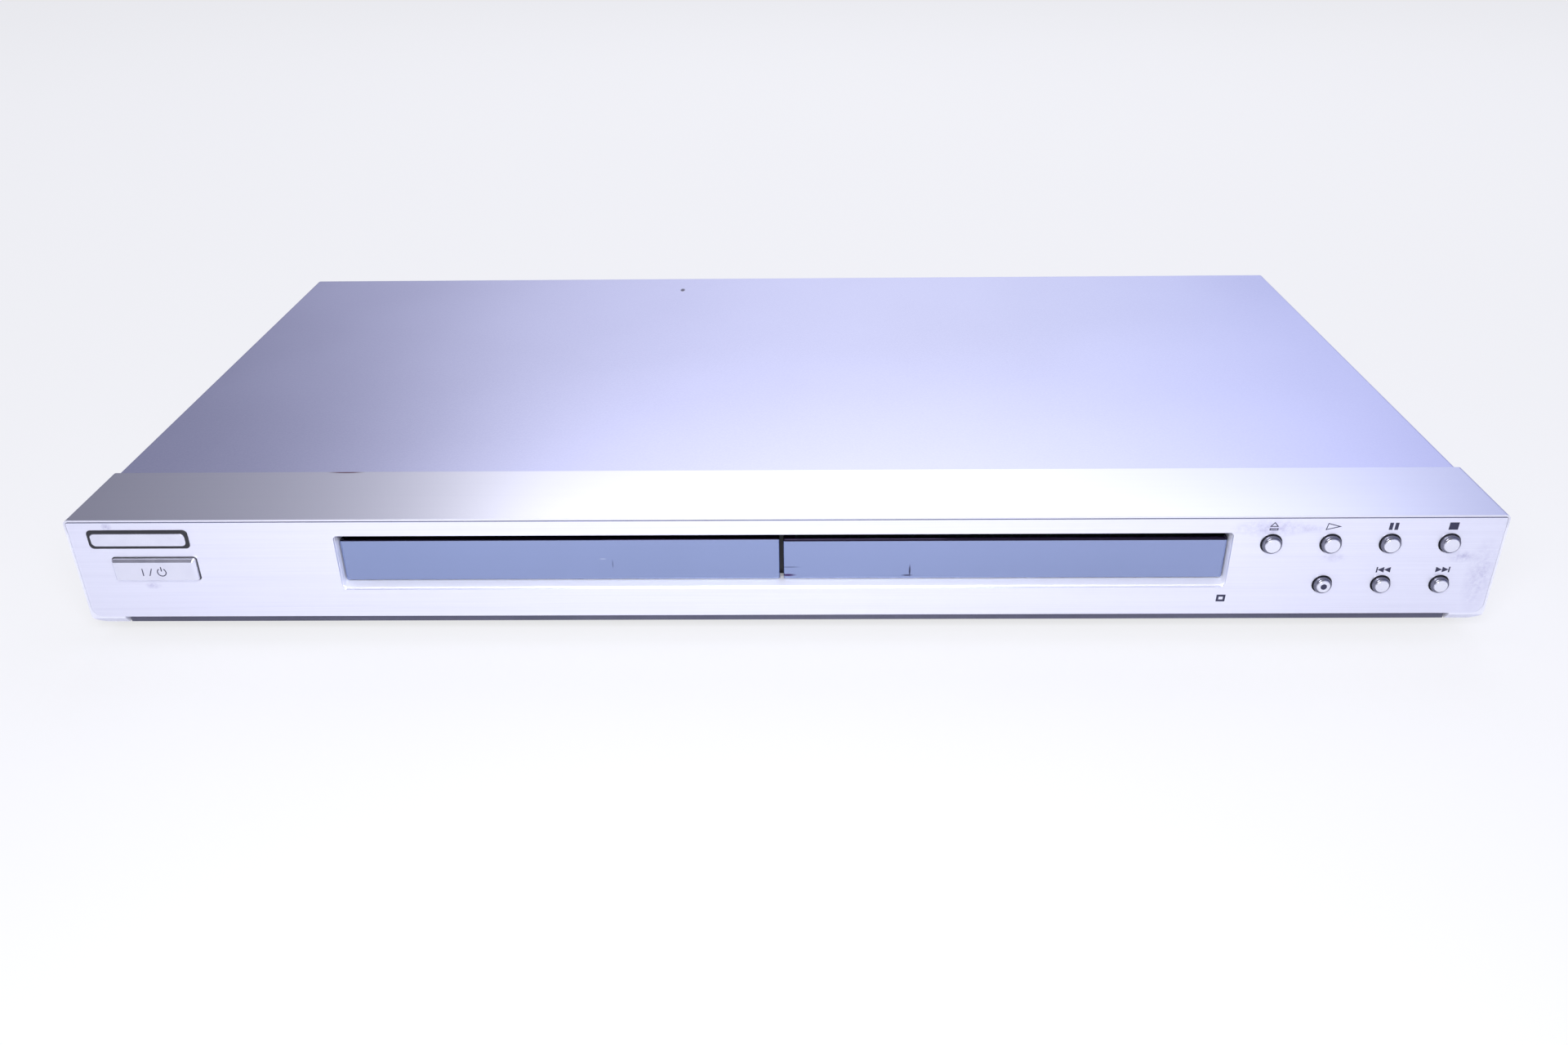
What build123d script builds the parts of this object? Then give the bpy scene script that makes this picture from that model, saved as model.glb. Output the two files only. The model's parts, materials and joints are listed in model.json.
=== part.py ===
"""A slim disc player: a silver sheet-metal case with a brushed front, a motor-driven disc tray,
and the loading and reading mechanism, boards and sockets inside.

Millimetres. X runs to the right seen from the front, Y runs to the back, Z is up.
The origin is the middle of the footprint, at the height of the table."""

import os
from math import acos, asin, atan2, cos, degrees, hypot, pi, radians, sin, tan

from build123d import *

os.makedirs("parts", exist_ok=True)

# ---------------------------------------------------------------- overall sizes
body_depth = 229.0  # front face to the cover's rear edge
foot_height = 6.0
button_proud = 1.8  # how far the round buttons stand out of the front face
jack_reach = 8.0  # how far the phono sockets stand out of the rear panel
seat_gap = 0.1  # between pieces of one body that only lie against each other
slide_gap = 0.3  # between pieces that move past each other
overcut = 1.0  # how far a cut runs on past the solid that it cuts

# ---------------------------------------------------------------- case
sheet = 0.8  # steel sheet of cover, chassis and rear panel
floor_sheet = 1.0
cover_inset = 1.5  # the cover's sides lie this far inside the fascia's ends
cover_drop = 0.5  # the cover's top lies this much under the fascia's
cover_bend = 1.2
cover_skirt = 0.5  # the cover's sides end this far above the chassis floor's underside
cover_rear_flange = 9.0
chassis_flange = 24.0
vent_slots = 12
vent_slot = (3.0, 14.0)
vent_pitch = 7.0
floor_vent_length = 28.0
floor_vent_inset = 38.0  # middle of the floor's vents, in from the case's left end
floor_vent_back = 125.0
leg_gap = 0.5  # between the chassis and the fascia's legs

# ---------------------------------------------------------------- front
fascia_depth = 32.0
fascia_wall = 2.0
fascia_rim = 0.6
top_corner = 1.5
leg_corner = 4.0
leg_width = 10.5
leg_slope = 2.0  # how far a leg's front leans back
face_bottom = 9.0  # height of the face's lower edge
plate_thick = 1.0
recess_bottom = 18.5
recess_drop = 5.7  # from the case's top to the recess
recess_rise = 1.3  # the lower ledge climbs this much towards the back
recess_side = 0.2  # the ends draw in this much towards the back
pane_back = 3.0  # front of tray door and display window, behind the front face
recess_corner = 1.2
pane_thick = 2.5
pane_top_gap = 3.1  # above the tray door and the display window
pane_split = 1.2  # gap between tray door and display window

# ---------------------------------------------------------------- buttons
upper_hole = 3.3
lower_hole = 3.05
button_play = 0.4  # between a button and its hole
button_round = 0.7  # how much a button narrows to its flat front
button_travel = 0.6
button_stem = 1.6
button_flange = 4.2
button_pitch = 17.6
button_drop = 9.4  # from the case's top to the upper row's middle
button_row_pitch = 14.1
button_start = 11.5  # from the recess to the first column
button_end = 16.0  # from the last column to the fascia's end
power_button = (25.4, 7.6)
power_inset = 24.6  # its middle, in from the fascia's left end
power_drop = 16.7  # from the case's top to its middle
power_corner = 0.8
button_gap = 0.35
board_back = 12.0  # the front boards' front face, behind the front face
switch_body = (6.0, 3.4)

# ---------------------------------------------------------------- disc tray
disc_radius = 60.0
tray_rim = 5.0  # from the disc's edge to the tray's side
door_overhang = 1.8  # the door reaches this far past the tray's sides
disc_back = 72.0  # disc centre behind the front face
tray_thick = 4.6
tray_plate_end = 138.0
tray_arm_end = 177.5
tray_arm = 13.0
tray_travel = 133.0
well_depth = 2.2
well_play = 0.6
small_well_depth = 3.3
small_well_radius = 40.6
tray_slot_half = 24.0
tray_front_wall = 2.0

# ---------------------------------------------------------------- loading drive
rack_module = 1.0
rack_inset = 12.85  # the rack's pitch line, in from the tray's right side
rack_start = 13.0
rack_spare = 11.5  # how far the rack runs on past the gear when the tray is out
tooth_height = 0.8  # in modules, above the pitch line
tooth_depth = 1.0
tooth_sink = 0.3  # how far a tooth's outline runs into its wheel
mesh_play = 0.12
pressure_angle = 20
output_teeth = 12  # upper gear, on the rack
gear_module = 0.8
wheel_teeth = 40
pinion_teeth = 12
drive_back = 25.5
belt_wheel = 12.5
belt_pulley = 3.0
belt_size = 1.4
motor_spacing = 36.0
gear_seat = 2.0  # from the loader's floor to the gears
gear_face_width = 4.8
gear_neck = 2.6  # between the two toothed tiers of the drive gear
output_width = 5.1
belt_neck = 3.4  # between the pinion and the belt groove
pulley_width = 3.6
rail_gap = 0.2  # between the drive gear's top and the tray rails' top
drive_axle = 2.0
wheel_axle = 1.5
axle_play = 0.06
motor_shaft = 1.0

# ---------------------------------------------------------------- loader frame
loader_wall = 2.4
tray_side_gap = 1.6  # between the tray and the loader's side walls
loader_front = 8.0
loader_back = 190.0
loader_clearance = 1.0  # between the chassis floor and the loader
loader_floor_thick = 2.0
bridge_thick = 2.0
bridge_width = 40.0
shelf_drop = 0.4  # from the belt pulley down to the plate that the loading motor hangs from
shelf_thick = 1.4

# ---------------------------------------------------------------- lifting frame and optics
pivot_back = 172.0
pivot_lift = 6.0  # of the pivot above the loader's floor
pivot_radius = 2.0
lift_angle = 3.0
sled_motor_gap = 0.9  # between the sled's motor and the lifting frame
lift_front = 49.0
lift_clearance = 4.2  # between the loader's floor and the lifting frame
lift_thick = 3.0
lift_rim = 6.0
damper_height = 1.4
base_thick = 1.2
cam_pin = 1.5
cam_pin_lift = 10.5  # of the cam's pins above the loader's floor
cam_pin_half = 30.0
cam_travel = 12.0
cam_back = 43.2
cam_thick = 2.6
disc_lift = 2.0  # how far the turntable lifts the disc off the tray
hub_radius = 7.4
hub_height = 2.4
platter_radius = 15.0
rotor_radius = 12.0
rod_radius = 1.5
rod_half = 23.0
rod_lift = 1.5  # of the guide rods' middle above the traverse base
rod_ends = (80.0, 164.0)
pickup_inner = 24.0  # lens to disc centre at the innermost track
pickup_travel = 34.0
pickup_half = 20.0
lens_radius = 3.2
sled_module = 0.5
sled_small_teeth = 14
sled_large_teeth = 30
sled_pinion_teeth = 12
sled_rack_x = 31.5  # the sled rack's pitch line, right of the disc's middle

# ---------------------------------------------------------------- clamp
clamper_radius = 16.0
clamper_neck = 11.0
clamper_cap = 14.0
clamp_gap = 1.8  # between the turntable's face and the clamper
clamper_taper = 1.1
clamper_headroom = 3.6  # between the clamper and the cover

# ---------------------------------------------------------------- boards and sockets
board_thick = 1.6
board_lift = 6.0  # of the boards above the chassis floor
jack_pitch = 14.0
jack_inset = 39.0  # the last phono socket, in from the case's right end
jack_lift = 7.4  # of the rear sockets' middle above the main board
jack_shell = (4.15, 3.45)
jack_shoulder = (0.85, 0.2)  # its collar in the panel's hole: wider by, and proud of the panel by
jack_pin_hole = 1.7
inlet_inset = 37.0  # its middle, in from the case's left end
inlet_lift = 5.4  # of its middle above the power board
inlet_cavity = (15.0, 7.6)
inlet_pin = 1.2
inlet_pin_spacing = 8.6

# ---------------------------------------------------------------- small parts
screw_head = (3.2, 1.4)
screw_cross = 3.2
screw_slot = 0.7
screw_shank = 1.5
screw_length = 7.0
screw_play = 0.1
side_screw_height = 22.0
side_screws = (70.0, body_depth - 39.0)
rear_screw_drop = 5.5  # from the cover's top
rear_screw_inset = 65.0
foot_radius = 11.0
foot_step = 1.0  # how much the foot narrows towards the floor
foot_inset = 33.0
foot_places = (30.0, body_depth - 29.0)
loader_screws = (20.0, 176.0)
foot_lip = 3.6
foot_round = 1.0

# ---------------------------------------------------------------- front details
collar_wall = 1.5
collar_back = 7.0
window_ledge_inset = 7.8
pane_ledge_height = 3.4
pane_corner = 0.5
pane_bevel = 0.3
button_collar = 1.0
switch_tip = 7.9  # front of a switch's plunger, behind the front face
power_bevel = 0.7
power_lip = 1.2
front_post = 2.6
front_screw_hole = 1.6
front_board_gap = 2.65  # between the loader and the front board
front_board_inset = 8.0  # the board's right end, in from the case's
front_board_low = 9.6
front_board_drop = 3.4  # from the case's top to the board
front_post_edge = 3.0  # from the board's lower and upper edges to its posts
front_post_inset = 8.0
front_post_gap = 5.3  # from the recess to the middle posts
power_board_size = (33.0, 22.0)
power_post_offset = (10.0, 8.4)  # of the power board's two posts from the middle of its key
display_shift = 2.35  # the display's middle, right of its window's
display_size = (84.0, 13.0)
display_thick = 4.0
display_bevel = 0.5
display_frame_side = 50.0  # from the display's middle to its frame's left end
display_frame_inset = 0.7  # the frame's right end, in from the recess's
display_frame_height = 16.0
sensor_inset = 10.7
sensor_size = (6.4, 8.0)
sensor_thick = 3.0
sensor_lens = (2.6, 1.2)  # radius and height
sensor_lens_slope = 35

# ---------------------------------------------------------------- rear details
jack_count = 7
video_gap = 14.0  # from the video socket to the first phono socket
video_radius = 5.6
video_wall = 0.75  # leaves a mouth for the plug's 9.5 mm shell
video_holes = (2.6, 0.5)  # radius of the ring of four contact holes, and of each hole
video_hole_turn = 35
video_key = (2.4, 1.0)
inlet_body = (27.0, 13.0)
inlet_flange = 1.2
rear_vent_x = -60.0
video_body = 13.0
video_reach = 1.6
inlet_length = 17.2  # the inlet's body inside the rear panel
inlet_lip = 1.5
inlet_depth = 11.0
jack_block_height = 15.4
jack_block_depth = 12.0
jack_block_margin = 12.0
jack_insert_drop = 0.6

# ---------------------------------------------------------------- boards and what stands on them
post_radius = 3.6
board_edge = 5.0
power_board_inset = 8.0
power_board_gap = 0.35  # between the power board and the loader's ears
power_board_start = 66.0
inlet_board_gap = 2.0
main_board_inset = 11.0
main_board_side_gap = 10.65  # between the loader's ears and the main board
main_board_start = 126.0
main_board_gap = 7.2  # between the main board's rear edge and the panel's outside
transformer_place = (37.0, 118.0)  # in from the case's left end, and behind the front face
transformer_coil = (24.0, 26.0, 20.0)
transformer_core = (32.0, 18.0, 12.0)
transformer_core_low = 4.0
transformer_corner = 1.0
capacitor_round = 0.8
capacitors = [  # in from the case's left end, behind the front face, radius and height
    (35.0, 176.0, 9.0, 24.0),
    (55.0, 150.0, 5.0, 18.0),
    (43.0, 90.0, 4.0, 14.0),
    (31.0, 90.0, 4.0, 14.0),
    (55.0, 90.0, 4.0, 12.0),
]
sink_place = (15.0, 150.0)
sink_size = (9.0, 30.0, 22.0)
sink_wall = 1.4
sink_fins = 6
chips = [  # in from the case's right end, behind the front face, width, depth and height
    (125.0, 172.0, 28.0, 28.0, 3.4),
    (163.0, 166.0, 18.0, 10.0, 1.6),
    (163.0, 186.0, 18.0, 10.0, 1.6),
    (77.0, 168.0, 14.0, 14.0, 2.0),
    (45.0, 150.0, 12.0, 5.0, 2.0),
    (45.0, 164.0, 12.0, 5.0, 2.0),
]
cable_inset = 38.0  # its middle, in from the main board's left end
cable_width = 20.0
cable_socket_side = 2.0
cable_thick = 0.4
cable_bend = 3.0
cable_socket = (4.0, 3.6)
cable_socket_middle = 1.8  # of the front board's socket, behind the board
cable_front_height = 22.0
cable_turn_height = 15.0
cable_slant = 6.6
cable_lift = 2.0  # of its run above the chassis floor
cable_rise = (14.0, 6.0, 3.0)  # where it climbs and ends, before and behind the main board's front edge
cable_end_lift = 2.4

# ---------------------------------------------------------------- loader details
lift_opening = (47.4, 179.6)
pivot_side_gap = 0.7
pivot_post = 5.0
pivot_post_depth = 8.0
pivot_crown = 2.0
pivot_cap = 1.0
pivot_block = 4.0
ear_half = 5.0
ear_thick = 5.0
rail_thick = 2.4
rail_reach = 3.4
tab_places = (14.0, 96.0)
tab_length = 8.0
tab_thick = 1.6
guide_rib = 1.0
guide_height = 1.5
cam_guide_start = 55.0  # from the disc's middle to the guide's left end
motor_radius = 11.0
motor_flat = 2.0
motor_boss = 3.0
motor_end = 1.0  # thickness of the motor's closed end
shaft_gap = 0.2  # between the motor's shaft and its closed end
shelf_leg = 2.0
bridge_boss = 3.4
bridge_boss_height = 9.0
bridge_overhang = 5.2
bridge_rim = 2.0
bridge_rim_gap = 1.0
axle_seat = 1.5  # how much wider the seat under a wheel is than its axle
clamper_play = 0.6
clamper_hollow = 1.4
clamper_rim = 2.0
clamper_cap_thick = 1.2

# ---------------------------------------------------------------- tray details
tray_start = 5.6
tray_front_z = (-3.0, 8.0)  # its lower and upper edge, from the tray's underside
tray_arm_thick = 3.0
tray_rib = 1.4
tray_rib_inset = 6.5
tray_slot_ease = 4.0
slot_wide_start = 86.0
thumb_radius = 9.0
rack_rise = 0.9  # of the rack's underside above the gear's upper tier
rack_body = 2.2
belt_flange = 1.0

# ---------------------------------------------------------------- lifting and reading details
cam_height = 13.9
cam_offset = 1.0
cam_length = 86.0
cam_slot_gap = 0.25
cam_corner = 3.0
lift_back = 178.0
lift_side_bar = 5.0
lift_wall_side = 6.0  # how far the front wall runs past its pins
lift_rear_bar = 10.0
lift_wall = 2.4
lift_wall_height = 8.6
damper_radius = 2.5
damper_neck = 1.5
damper_places = (54.6, 160.0)
window_start = 85.0
window_end = 145.0
window_half = 27.5
rod_tab = 2.0
rod_tab_half = 3.0
stator_plate = 1.2
stator_flange = 13.5
stator_radius = 9.6
stator_height = 4.4  # above the traverse base
spindle_shaft = 1.0
rotor_cap = 1.2
platter_thick = 2.8
ring_thick = 0.5
ring_width = 3.6
hub_cone = 1.6
hub_step = 0.8
pickup_front = 10.0
pickup_length = 32.0
pickup_height = 6.8  # above the traverse base
pickup_bearing = 20.0
pickup_inset = 17.0
pickup_corner = 2.0
rod_relief = 4.5
bearing_half = 2.6
lens_seat = 1.2
lens_rise = 0.8
sled_wheel_width = 1.2
sled_mesh_gap = 0.3  # between the sled's large gear and its rack
sled_rack_width = 2.0
sled_gear_width = 2.5
sled_rack_body = 2.2
sled_axle = 1.2
sled_shaft = 0.8
sled_motor_radius = 5.6
sled_motor_height = 7.0
sled_motor_boss = 2.0
sled_start = 8.0  # from the lens to the sled's gear
sled_rack_spare = 4.0

# ---------------------------------------------------------------- sizes worked out from those above
floor_top = foot_height + floor_sheet
loader_low = floor_top + loader_clearance
loader_floor = loader_low + loader_floor_thick
gear_low = loader_floor + gear_seat
wheel_high = gear_low + gear_face_width
gear_tier = wheel_high + gear_neck
output_high = gear_tier + output_width
rack_low = gear_tier + rack_rise
belt_low = wheel_high + belt_neck
belt_high = belt_low + pulley_width
shelf_top = belt_low - shelf_drop
rail_top = output_high + rail_gap
tray_under = rail_top + slide_gap
tray_top = tray_under + tray_thick
well_floor = tray_top - well_depth
disc_plane = well_floor + disc_lift
clamper_low = disc_plane + clamp_gap
loader_top = clamper_low + clamper_rim + clamper_taper + slide_gap
cap_low = loader_top + bridge_thick + slide_gap
cover_top = cap_low + clamper_cap_thick + clamper_headroom + sheet
case_height = cover_top + cover_drop
recess_top = case_height - recess_drop
button_upper_row = case_height - button_drop
button_lower_row = button_upper_row - button_row_pitch
power_height = case_height - power_drop
rear_screw_height = cover_top - rear_screw_drop
board_height = floor_top + board_lift
board_top = board_height + board_thick
jack_height = board_top + jack_lift
inlet_height = board_top + inlet_lift
ear_top = loader_low + ear_thick
lift_low = loader_floor + lift_clearance
base_low = lift_low + lift_thick + damper_height
base_top = base_low + base_thick
pivot_height = loader_floor + pivot_lift
cam_low = loader_floor + slide_gap
cam_high = cam_low + cam_height
cam_pin_height = loader_floor + cam_pin_lift
rod_height = base_top + rod_lift
stator_high = base_top + stator_height
pickup_high = base_top + pickup_height
sled_low = base_top + slide_gap
sled_wheel_high = sled_low + sled_wheel_width
sled_high = sled_wheel_high + sled_gear_width
sled_rack_low = sled_wheel_high + sled_mesh_gap
panel_outer = body_depth - sheet  # outside of the rear panel, behind the front face
tray_half = disc_radius + tray_rim
door_width = 2 * (tray_half + door_overhang)
recess_half = pane_split / 2 + door_width + slide_gap + recess_side
right_end = recess_half + button_start + 3 * button_pitch + button_end
case_width = 2 * right_end
left_end = -right_end
cover_width = case_width - 2 * cover_inset
overall_depth = button_proud + panel_outer + jack_reach
face_y = button_proud - overall_depth / 2
wall_back = plate_thick + fascia_wall  # rear face of the fascia's front wall
cover_inside = cover_width / 2 - sheet
door_low = recess_bottom + recess_rise + slide_gap
pane_height = recess_top - pane_top_gap - door_low
disc_x = -(pane_split + door_width) / 2 - slide_gap / 2 - recess_side / 2
disc_y = face_y + disc_back
well_radius = disc_radius + well_play
loader_half = tray_half + tray_side_gap + loader_wall
loader_screw_x = (-loader_half - ear_half, loader_half + ear_half)
lift_inner_half = sled_rack_x + sled_module * sled_small_teeth / 2 + sled_motor_radius + sled_motor_gap
lift_half = lift_inner_half + lift_side_bar
lift_opening_half = lift_half + pivot_side_gap
pivot_reach = lift_opening_half + pivot_post
rack_x = disc_x + tray_half - rack_inset
rack_end = drive_back + tray_travel + rack_spare
drive_x = rack_x - rack_module * output_teeth / 2
drive_y = face_y + drive_back
wheel_x = drive_x - gear_module * (wheel_teeth + pinion_teeth) / 2
motor_x = wheel_x - motor_spacing
sled_x = disc_x + sled_rack_x + sled_module * sled_small_teeth / 2
sled_y = disc_y + pickup_inner + sled_start
sled_pinion_y = sled_y + sled_module * (sled_large_teeth + sled_pinion_teeth) / 2
stem_end = switch_tip - button_travel - seat_gap
belt_middle = (belt_low + belt_high) / 2
jack_block_back = panel_outer - sheet - seat_gap
inlet_x = left_end + inlet_inset
inlet_front = panel_outer - inlet_length
power_board_x = (left_end + power_board_inset, disc_x - loader_half - 2 * ear_half - power_board_gap)
power_board_back = (power_board_start, inlet_front - inlet_board_gap)
main_board_x = (disc_x + loader_half + 2 * ear_half + main_board_side_gap, right_end - main_board_inset)
main_board_back = (main_board_start, panel_outer - main_board_gap)
cable_x = main_board_x[0] + cable_inset
cable_front = board_back + board_thick + cable_socket_middle
cable_points = [
    (cable_front, cable_front_height),
    (cable_front, cable_turn_height),
    (cable_front + cable_slant, floor_top + cable_lift),
    (main_board_start - cable_rise[0], floor_top + cable_lift),
    (main_board_start - cable_rise[1], board_top + cable_end_lift),
    (main_board_start + cable_rise[2], board_top + cable_end_lift),
]
power_centre = (left_end + power_inset, power_height)
power_key_posts = [
    (power_centre[0] + side * power_post_offset[0], power_height + side * power_post_offset[1])
    for side in (-1, 1)
]
display_centre = (display_shift - disc_x, door_low + pane_height / 2)
display_frame_x = (display_centre[0] - display_frame_side, recess_half - display_frame_inset)
sensor_x = recess_half - sensor_inset
front_board_x = (disc_x + loader_half + front_board_gap, right_end - front_board_inset)
foot_x = right_end - foot_inset
rear_screws = (left_end + rear_screw_inset, 0.0, right_end - rear_screw_inset)
board_corners = [
    (x, d)
    for xs, ds in ((power_board_x, power_board_back), (main_board_x, main_board_back))
    for x in (xs[0] + board_edge, xs[1] - board_edge)
    for d in (ds[0] + board_edge, ds[1] - board_edge)
]
boss_side = loader_half + bridge_boss - loader_wall / 2
boss_end = bridge_width / 2 - bridge_boss
bridge_bosses = [(disc_x + x, disc_y + y) for x in (-boss_side, boss_side) for y in (-boss_end, boss_end)]
jack_places = [right_end - jack_inset - jack_pitch * n for n in reversed(range(jack_count))]
video_x = jack_places[0] - video_gap
columns = [right_end - button_end - button_pitch * n for n in (3, 2, 1, 0)]
front_board_z = (front_board_low, case_height - front_board_drop)
front_board_posts = [
    (front_board_x[0] + front_post_inset, front_board_z[0] + front_post_edge),
    (recess_half + front_post_gap, front_board_z[0] + front_post_edge),
    (recess_half + front_post_gap, front_board_z[1] - front_post_edge),
    ((columns[-1] + columns[-2]) / 2, front_board_z[0] + front_post_edge),
]
upper_buttons = {
    use: (x, button_upper_row) for use, x in zip(("eject", "play", "pause", "stop"), columns)
}
lower_buttons = {
    use: (x, button_lower_row) for use, x in zip(("scan", "previous", "next"), columns[1:])
}


def behind(distance):
    """Y of a place that lies this far behind the front face."""
    return face_y + distance


def facing_front(distance):
    """A sketch plane this far behind the front face: sketch x is X and sketch y is Z."""
    return Plane.XZ.offset(-behind(distance))


def level(height):
    """A flat sketch plane at this height."""
    return Plane.XY.offset(height)


def save(piece, name):
    piece.part.label = name
    export_step(piece.part, f"parts/{name}.step")


# ================================================================ gear teeth
def tooth_outline(teeth, module):
    """Corner points of one involute tooth that points along +X, from inside its root circle to its tip."""
    pitch = module * teeth / 2
    tip = pitch + tooth_height * module
    root = pitch - tooth_depth * module
    pressure = radians(pressure_angle)
    base = pitch * cos(pressure)
    half_at_pitch = pi / (2 * teeth) - mesh_play / (4 * pitch)

    def half_angle(radius):
        turn = acos(min(1.0, base / radius))
        return half_at_pitch + tan(pressure) - pressure - tan(turn) + turn

    radii = [root - tooth_sink * module, max(base, root), pitch, tip]
    flank = [(r * cos(half_angle(r)), r * sin(half_angle(r))) for r in radii]
    return [(x, -y) for x, y in flank] + flank[::-1]


def gear_face(teeth, module, turn=0.0):
    """A toothed disc in the sketch that is open, with one tooth turned to the angle given, in degrees."""
    with PolarLocations(0, teeth, start_angle=turn):
        Polygon(*tooth_outline(teeth, module), align=None)
    Circle(module * teeth / 2 - tooth_depth * module)


def rack_teeth(module, first, last, phase, side):
    """Straight rack teeth in the sketch that is open, on a pitch line at x 0, pointing to side (-1 or 1)."""
    pitch = pi * module
    half = pitch / 4 - mesh_play / 4
    rise = tooth_height * module
    fall = (tooth_depth + tooth_sink) * module
    lean = tan(radians(pressure_angle))
    outline = [
        (-side * fall, -half - lean * fall),
        (side * rise, -half + lean * rise),
        (side * rise, half - lean * rise),
        (-side * fall, half + lean * fall),
    ]
    count = int((last - phase) // pitch)
    places = [phase + pitch * (n + 0.5) for n in range(-int((phase - first) // pitch), count)]
    with Locations(*[(0, y) for y in places]):
        Polygon(*outline, align=None)


# ================================================================ case
def screw():
    """A pan-head screw along +Z with its head's underside at z 0, with a cross recess."""
    head_radius, head_height = screw_head
    with BuildPart() as made:
        with BuildSketch(Plane.XZ):
            with BuildLine():
                Polyline(
                    (head_radius - head_height / 2, head_height),
                    (0, head_height),
                    (0, -screw_length),
                    (screw_shank / 2, -screw_length),
                    (screw_shank, screw_shank - screw_length),
                    (screw_shank, 0),
                    (head_radius, 0),
                    (head_radius, head_height / 2),
                    (head_radius - head_height / 2, head_height),
                )
            make_face()
        revolve(axis=Axis.Z)
        with BuildSketch(level(head_height)):
            Rectangle(screw_cross, screw_slot)
            Rectangle(screw_slot, screw_cross)
        extrude(amount=-screw_slot, mode=Mode.SUBTRACT)
    return made.part


pan_screw = screw()

side_axes = [Location((0, behind(d), side_screw_height), (0, 90, 0)) for d in side_screws]
side_spots = [
    Location((side * cover_width / 2, behind(d), side_screw_height), (0, side * 90, 0))
    for side in (-1, 1)
    for d in side_screws
]
rear_spots = [Location((x, behind(body_depth), rear_screw_height), (-90, 0, 0)) for x in rear_screws]

with BuildPart() as top_cover:
    with BuildSketch(facing_front(fascia_depth + slide_gap)) as cover_section:
        with Locations((0, cover_top)):
            Rectangle(cover_width, cover_top - foot_height - cover_skirt, align=(Align.CENTER, Align.MAX))
    extrude(amount=-(body_depth - fascia_depth - slide_gap))
    fillet(top_cover.edges().filter_by(Axis.Y).group_by(Axis.Z)[-1], cover_bend)
    with BuildSketch(facing_front(fascia_depth)):
        with Locations((0, cover_top - sheet)):
            Rectangle(2 * cover_inside, cover_top, align=(Align.CENTER, Align.MAX))
    extrude(amount=-(panel_outer - fascia_depth), mode=Mode.SUBTRACT)
    with BuildSketch(facing_front(panel_outer)):
        with Locations((0, cover_top - cover_rear_flange)):
            Rectangle(cover_width, case_height, align=(Align.CENTER, Align.MAX))
    extrude(amount=-2 * sheet, mode=Mode.SUBTRACT)
    with Locations(*side_axes):
        Hole(screw_shank + screw_play)
    with Locations(*rear_spots):
        Hole(screw_shank + screw_play, depth=2 * sheet)
save(top_cover, "top_cover")

with BuildPart() as chassis_base:
    chassis_end = panel_outer
    with BuildSketch(level(foot_height)):
        with Locations((0, behind(leg_slope))):
            Rectangle(2 * cover_inside, chassis_end - leg_slope, align=(Align.CENTER, Align.MIN))
        for side in (-1, 1):
            with Locations((side * cover_inside, behind(leg_slope))):
                Rectangle(
                    cover_inside - right_end + leg_width + leg_gap,
                    fascia_depth - leg_slope,
                    align=(Align.MAX if side > 0 else Align.MIN, Align.MIN),
                    mode=Mode.SUBTRACT,
                )
    extrude(amount=floor_sheet)
    with BuildSketch(level(foot_height)):
        for side in (-1, 1):
            with Locations((side * cover_inside, behind(fascia_depth))):
                Rectangle(
                    sheet,
                    chassis_end - fascia_depth,
                    align=(Align.MAX if side > 0 else Align.MIN, Align.MIN),
                )
    extrude(amount=chassis_flange)
    with BuildSketch(level(foot_height)):
        with Locations((0, behind(leg_slope))):
            Rectangle(
                case_width - 2 * (leg_width + leg_gap),
                floor_sheet,
                align=(Align.CENTER, Align.MIN),
            )
    extrude(amount=face_bottom - foot_height)
    loader_corners = [(disc_x + x, d) for x in loader_screw_x for d in loader_screws]
    for high, corners in ((board_height, board_corners), (loader_low, loader_corners)):
        with BuildSketch(level(floor_top)):
            with Locations(*[(x, behind(d)) for x, d in corners]):
                Circle(post_radius)
                Circle(screw_shank + screw_play, mode=Mode.SUBTRACT)
        extrude(amount=high - floor_top)
    with BuildSketch(level(foot_height)):
        with Locations(*[(x, behind(d)) for x, d in loader_corners]):
            Circle(screw_shank + screw_play)
    extrude(amount=floor_sheet, mode=Mode.SUBTRACT)
    with BuildSketch(level(foot_height)):
        with Locations((left_end + floor_vent_inset, behind(floor_vent_back))):
            with GridLocations(0, vent_pitch, 1, vent_slots):
                SlotOverall(floor_vent_length, vent_slot[0])
    extrude(amount=floor_sheet, mode=Mode.SUBTRACT)
    with Locations(*side_axes):
        Hole(screw_shank + screw_play)
save(chassis_base, "chassis_base")

with BuildPart() as rear_panel:
    with BuildSketch(facing_front(panel_outer)):
        with Locations((0, floor_top)):
            Rectangle(
                2 * (cover_inside - sheet - seat_gap),
                cover_top - sheet - seat_gap - floor_top,
                align=(Align.CENTER, Align.MIN),
            )
        with Locations(*[(x, rear_screw_height) for x in rear_screws]):
            Circle(screw_shank + screw_play, mode=Mode.SUBTRACT)
        with Locations(*[(x, jack_height) for x in jack_places]):
            Circle(jack_shell[0] + jack_shoulder[0] + slide_gap, mode=Mode.SUBTRACT)
        with Locations((video_x, jack_height)):
            Circle(video_radius + slide_gap, mode=Mode.SUBTRACT)
        with Locations((inlet_x, inlet_height)):
            Rectangle(inlet_body[0] + 2 * seat_gap, inlet_body[1] + 2 * seat_gap, mode=Mode.SUBTRACT)
        with Locations((rear_vent_x, jack_height)):
            with GridLocations(vent_pitch, 0, vent_slots, 1):
                SlotOverall(vent_slot[1], vent_slot[0], rotation=90, mode=Mode.SUBTRACT)
    extrude(amount=sheet)
save(rear_panel, "rear_panel")

with BuildPart() as cover_screws:
    with Locations(*side_spots, *rear_spots):
        add(pan_screw)
save(cover_screws, "cover_screws")

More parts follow.
